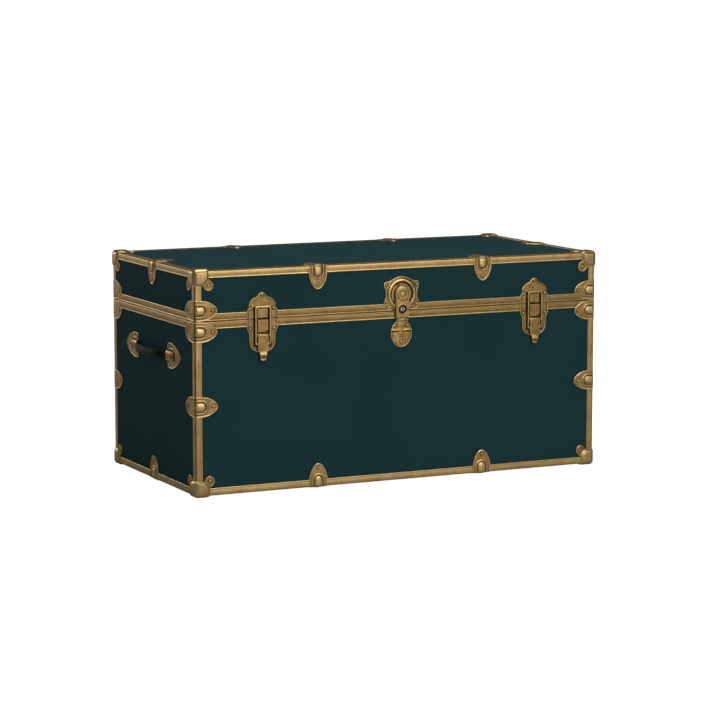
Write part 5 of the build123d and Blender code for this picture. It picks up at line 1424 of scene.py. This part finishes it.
def strap_half(side, sx, s):
    """One half of a strap, from the middle to the end in its pocket."""
    pts = centre[centre[:, 0] * s >= -1e-6]
    if s < 0:
        pts = pts[::-1]
    pts = np.vstack([[0.0, np.interp(0, centre[:, 0], centre[:, 1])], pts[np.abs(pts[:, 0]) > 0.2]])
    full_y, full_q = pts[:, 0], pts[:, 1]
    t = np.gradient(pts, axis=0)
    t[0] = (s, 0.0)
    t /= np.linalg.norm(t, axis=1, keepdims=True)
    n = np.stack([-t[:, 1], t[:, 0]], 1) * s
    g = Geo()
    ring = []
    m = 44
    for k in range(m):
        a = 2 * math.pi * k / m
        cx, cz = math.cos(a), math.sin(a)
        # a flat strap with burnished, rounded edges and a slight crown outside
        ring.append((math.copysign(abs(cx) ** 0.34, cx), math.copysign(abs(cz) ** 0.62, cz)))
    rows = []
    wear_and_highlight, dirt_and_shade = [], []
    for (y, q), nn in zip(pts, n):
        hh, tt = strap_height(y), strap_thick(y)
        row, wr, dr = [], [], []
        for cz, cx in ring:
            z = cz * hh
            edge = hh - abs(z)
            off = cx * tt
            if cx > 0:
                off += 0.35 * (1 - (z / hh) ** 2)
            # sewn line: a shallow channel 2.6 mm in from each edge
            if abs(cx) > 0.6:
                off -= math.copysign(0.26 * math.exp(-((edge - 2.6) / 0.75) ** 2), off)
            row.append((sx * (XC + q + nn[1] * off), y + nn[0] * off, GZ + strap_sag(y) + z))
            wr.append(0.75 * math.exp(-(edge / 1.0) ** 2) + (0.25 if abs(y) < 40 and cx > 0 else 0.0))
            dr.append(0.8 * math.exp(-((edge - 2.6) / 0.8) ** 2) if abs(cx) > 0.6 else 0.0)
        rows.append(row)
        wear_and_highlight += wr
        dirt_and_shade += dr
    v = np.array(rows)
    r, c = v.shape[:2]
    faces = []
    for i in range(r - 1):
        for j in range(c):
            k = (j + 1) % c
            faces.append((i * c + j, i * c + k, (i + 1) * c + k, (i + 1) * c + j))
    faces.append(tuple(range(c)))
    faces.append(tuple((r - 1) * c + j for j in range(c))[::-1])
    g.add(v.reshape(-1, 3), faces, np.array(wear_and_highlight), np.array(dirt_and_shade))
    label = "front" if s < 0 else "back"
    o = make(f"handle_strap_{side}_{label}_half", g, None, LEATHER, (f"handle_strap_{side}",), sharp=60)
    # stitches lie in the channels on both faces
    st = Geo()
    length = np.concatenate([[0], np.cumsum(np.linalg.norm(np.diff(pts, axis=0), axis=1))])
    at = 2.2
    while at < length[-1] - 34:
        y = np.interp(at, length, full_y)
        q = np.interp(at, length, full_q)
        nx = np.interp(at, length, n[:, 0])
        nq = np.interp(at, length, n[:, 1])
        ty = nq * s
        tq = -nx * s
        hh, tt = strap_height(y), strap_thick(y)
        for sz in (-1, 1):
            for face in (1, -1):
                z = GZ + strap_sag(y) + sz * (hh - 2.6)
                off = face * (tt + (0.35 * (1 - ((hh - 2.6) / hh) ** 2) if face > 0 else 0.0) - 0.12)
                if face < 0:
                    off = -(tt - 0.12)
                cy, cq = y + nx * off, q + nq * off
                path = []
                for k in range(5):
                    f = (k / 4 - 0.5) * 2
                    lift = 0.30 * (1 - f * f) * face
                    yy = cy + ty * f * 1.25 * s + nx * lift
                    qq = cq + tq * f * 1.25 * s + nq * lift
                    path.append((sx * (XC + qq), yy, z))
                path = np.array(path)
                tt_ = np.gradient(path, axis=0)
                tt_ /= np.linalg.norm(tt_, axis=1, keepdims=True)
                side_v = np.array([0, 0, 1.0])
                out_v = np.cross(tt_, side_v)
                rr = [0.16, 0.34, 0.38, 0.34, 0.16]
                ringv = []
                for pnt, ov, rad in zip(path, out_v, rr):
                    for b in range(6):
                        a = math.pi / 3 * b
                        ringv.append(pnt + side_v * math.cos(a) * rad + ov * math.sin(a) * rad)
                fs = []
                for i in range(4):
                    for j in range(6):
                        k2 = (j + 1) % 6
                        fs.append((i * 6 + j, i * 6 + k2, (i + 1) * 6 + k2, (i + 1) * 6 + j))
                fs.append(tuple(range(6))[::-1])
                fs.append(tuple(24 + j for j in range(6)))
                st.add(np.array(ringv), fs)
        at += 3.6
    o2 = make(f"handle_stitches_{side}_{label}_half", st, None, THREAD, (), sharp=60, weld=0.0001)
    for piece in (o, o2):
        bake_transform(piece)


for side, sx in (("left", -1), ("right", 1)):
    for s in (-1, 1):
        strap_half(side, sx, s)


# ------------------------------------------------------------------ stage, light and camera
def stage_plane():
    me = bpy.data.meshes.new("floor")
    pts, faces = [], []
    ys = [-9.0, 3.0] + [3.0 + 2.5 * math.sin(math.radians(a)) for a in range(10, 91, 10)] + [5.5]
    zs = [0.0, 0.0] + [2.5 - 2.5 * math.cos(math.radians(a)) for a in range(10, 91, 10)] + [9.0]
    for y, z in zip(ys, zs):
        pts += [(-12.0, y, z), (12.0, y, z)]
    for i in range(len(ys) - 1):
        faces.append((2 * i, 2 * i + 1, 2 * i + 3, 2 * i + 2))
    me.from_pydata(pts, [], faces)
    o = bpy.data.objects.new("floor", me)
    bpy.context.scene.collection.objects.link(o)
    me.polygons.foreach_set("use_smooth", [True] * len(me.polygons))
    n = Nodes("pale_floor")
    speck = n.noise(n.mapped((3, 3, 3)), 1.0, 2.0, 0.5)
    path = n.node("ShaderNodeLightPath")
    seen = n.ramp(speck, (0.3, (0.86, 0.86, 0.86)), (0.7, (0.88, 0.88, 0.88)))
    # bright sweep for the camera, a calmer one in the brass
    n.set(Base_Color=n.mix(path.outputs["Is Camera Ray"], (0.50, 0.50, 0.50, 1.0), seen), Roughness=0.75, Specular_IOR_Level=0.1,
          Emission_Color=(1.0, 1.0, 1.0, 1.0), Emission_Strength=n.math("MULTIPLY", path.outputs["Is Camera Ray"], 0.92))
    me.materials.append(n.mat)
    return o


stage_plane()


def area(name, loc, target, size, size_y, power, colour=(1, 1, 1)):
    light = bpy.data.lights.new(name, "AREA")
    light.shape = "RECTANGLE"
    light.size, light.size_y = size, size_y
    light.energy = power
    light.color = colour
    o = bpy.data.objects.new(name, light)
    bpy.context.scene.collection.objects.link(o)
    o.location = loc
    o.rotation_euler = (Vector(target) - Vector(loc)).to_track_quat("-Z", "Y").to_euler()
    o.visible_camera = False
    return o


area("overhead", (0.2, -0.4, 3.2), (0, 0, 0.3), 2.0, 1.3, 41)
area("key_front", (1.30, -4.5, 1.35), (0, 0, 0.22), 1.7, 1.6, 49)
area("back_left", (-2.4, 4.2, 1.1), (-0.45, 0.0, 0.25), 1.4, 1.6, 21)
area("glint_left", (-1.9, -3.2, 2.6), (0, 0, 0.3), 0.5, 0.7, 18)

world = bpy.data.worlds.new("studio")
bpy.context.scene.world = world
world.use_nodes = True
wt = world.node_tree
wt.nodes.clear()
wo = wt.nodes.new("ShaderNodeOutputWorld")
bg = wt.nodes.new("ShaderNodeBackground")
lp = wt.nodes.new("ShaderNodeLightPath")
mr = wt.nodes.new("ShaderNodeMapRange")
mr.inputs["To Min"].default_value = 0.11
mr.inputs["To Max"].default_value = 1.0
wt.links.new(lp.outputs["Is Camera Ray"], mr.inputs["Value"])
bg.inputs["Color"].default_value = (1.0, 1.0, 1.0, 1.0)
wt.links.new(mr.outputs["Result"], bg.inputs["Strength"])
wt.links.new(bg.outputs[0], wo.inputs[0])

scene = bpy.context.scene
scene.view_settings.view_transform = "Standard"
scene.view_settings.look = "None"
scene.view_settings.exposure = 0.0
scene.view_settings.gamma = 1.0

cam_data = bpy.data.cameras.new("camera")
cam = bpy.data.objects.new("camera", cam_data)
scene.collection.objects.link(cam)
cam_data.sensor_width = 36.0
cam_data.lens = 137.66
cam_data.shift_x, cam_data.shift_y = -0.0007, 0.00095
cam_data.clip_start, cam_data.clip_end = 0.1, 60.0
cam.location = (-2.4534, -5.1384, 1.0085)
right = Vector((0.90207, -0.43158, 0.0)).normalized()
forward = Vector((0.42762, 0.89379, -0.13521)).normalized()
up = right.cross(forward).normalized()
cam.matrix_world = Matrix(((right.x, up.x, -forward.x, cam.location.x), (right.y, up.y, -forward.y, cam.location.y), (right.z, up.z, -forward.z, cam.location.z), (0, 0, 0, 1)))
scene.camera = cam
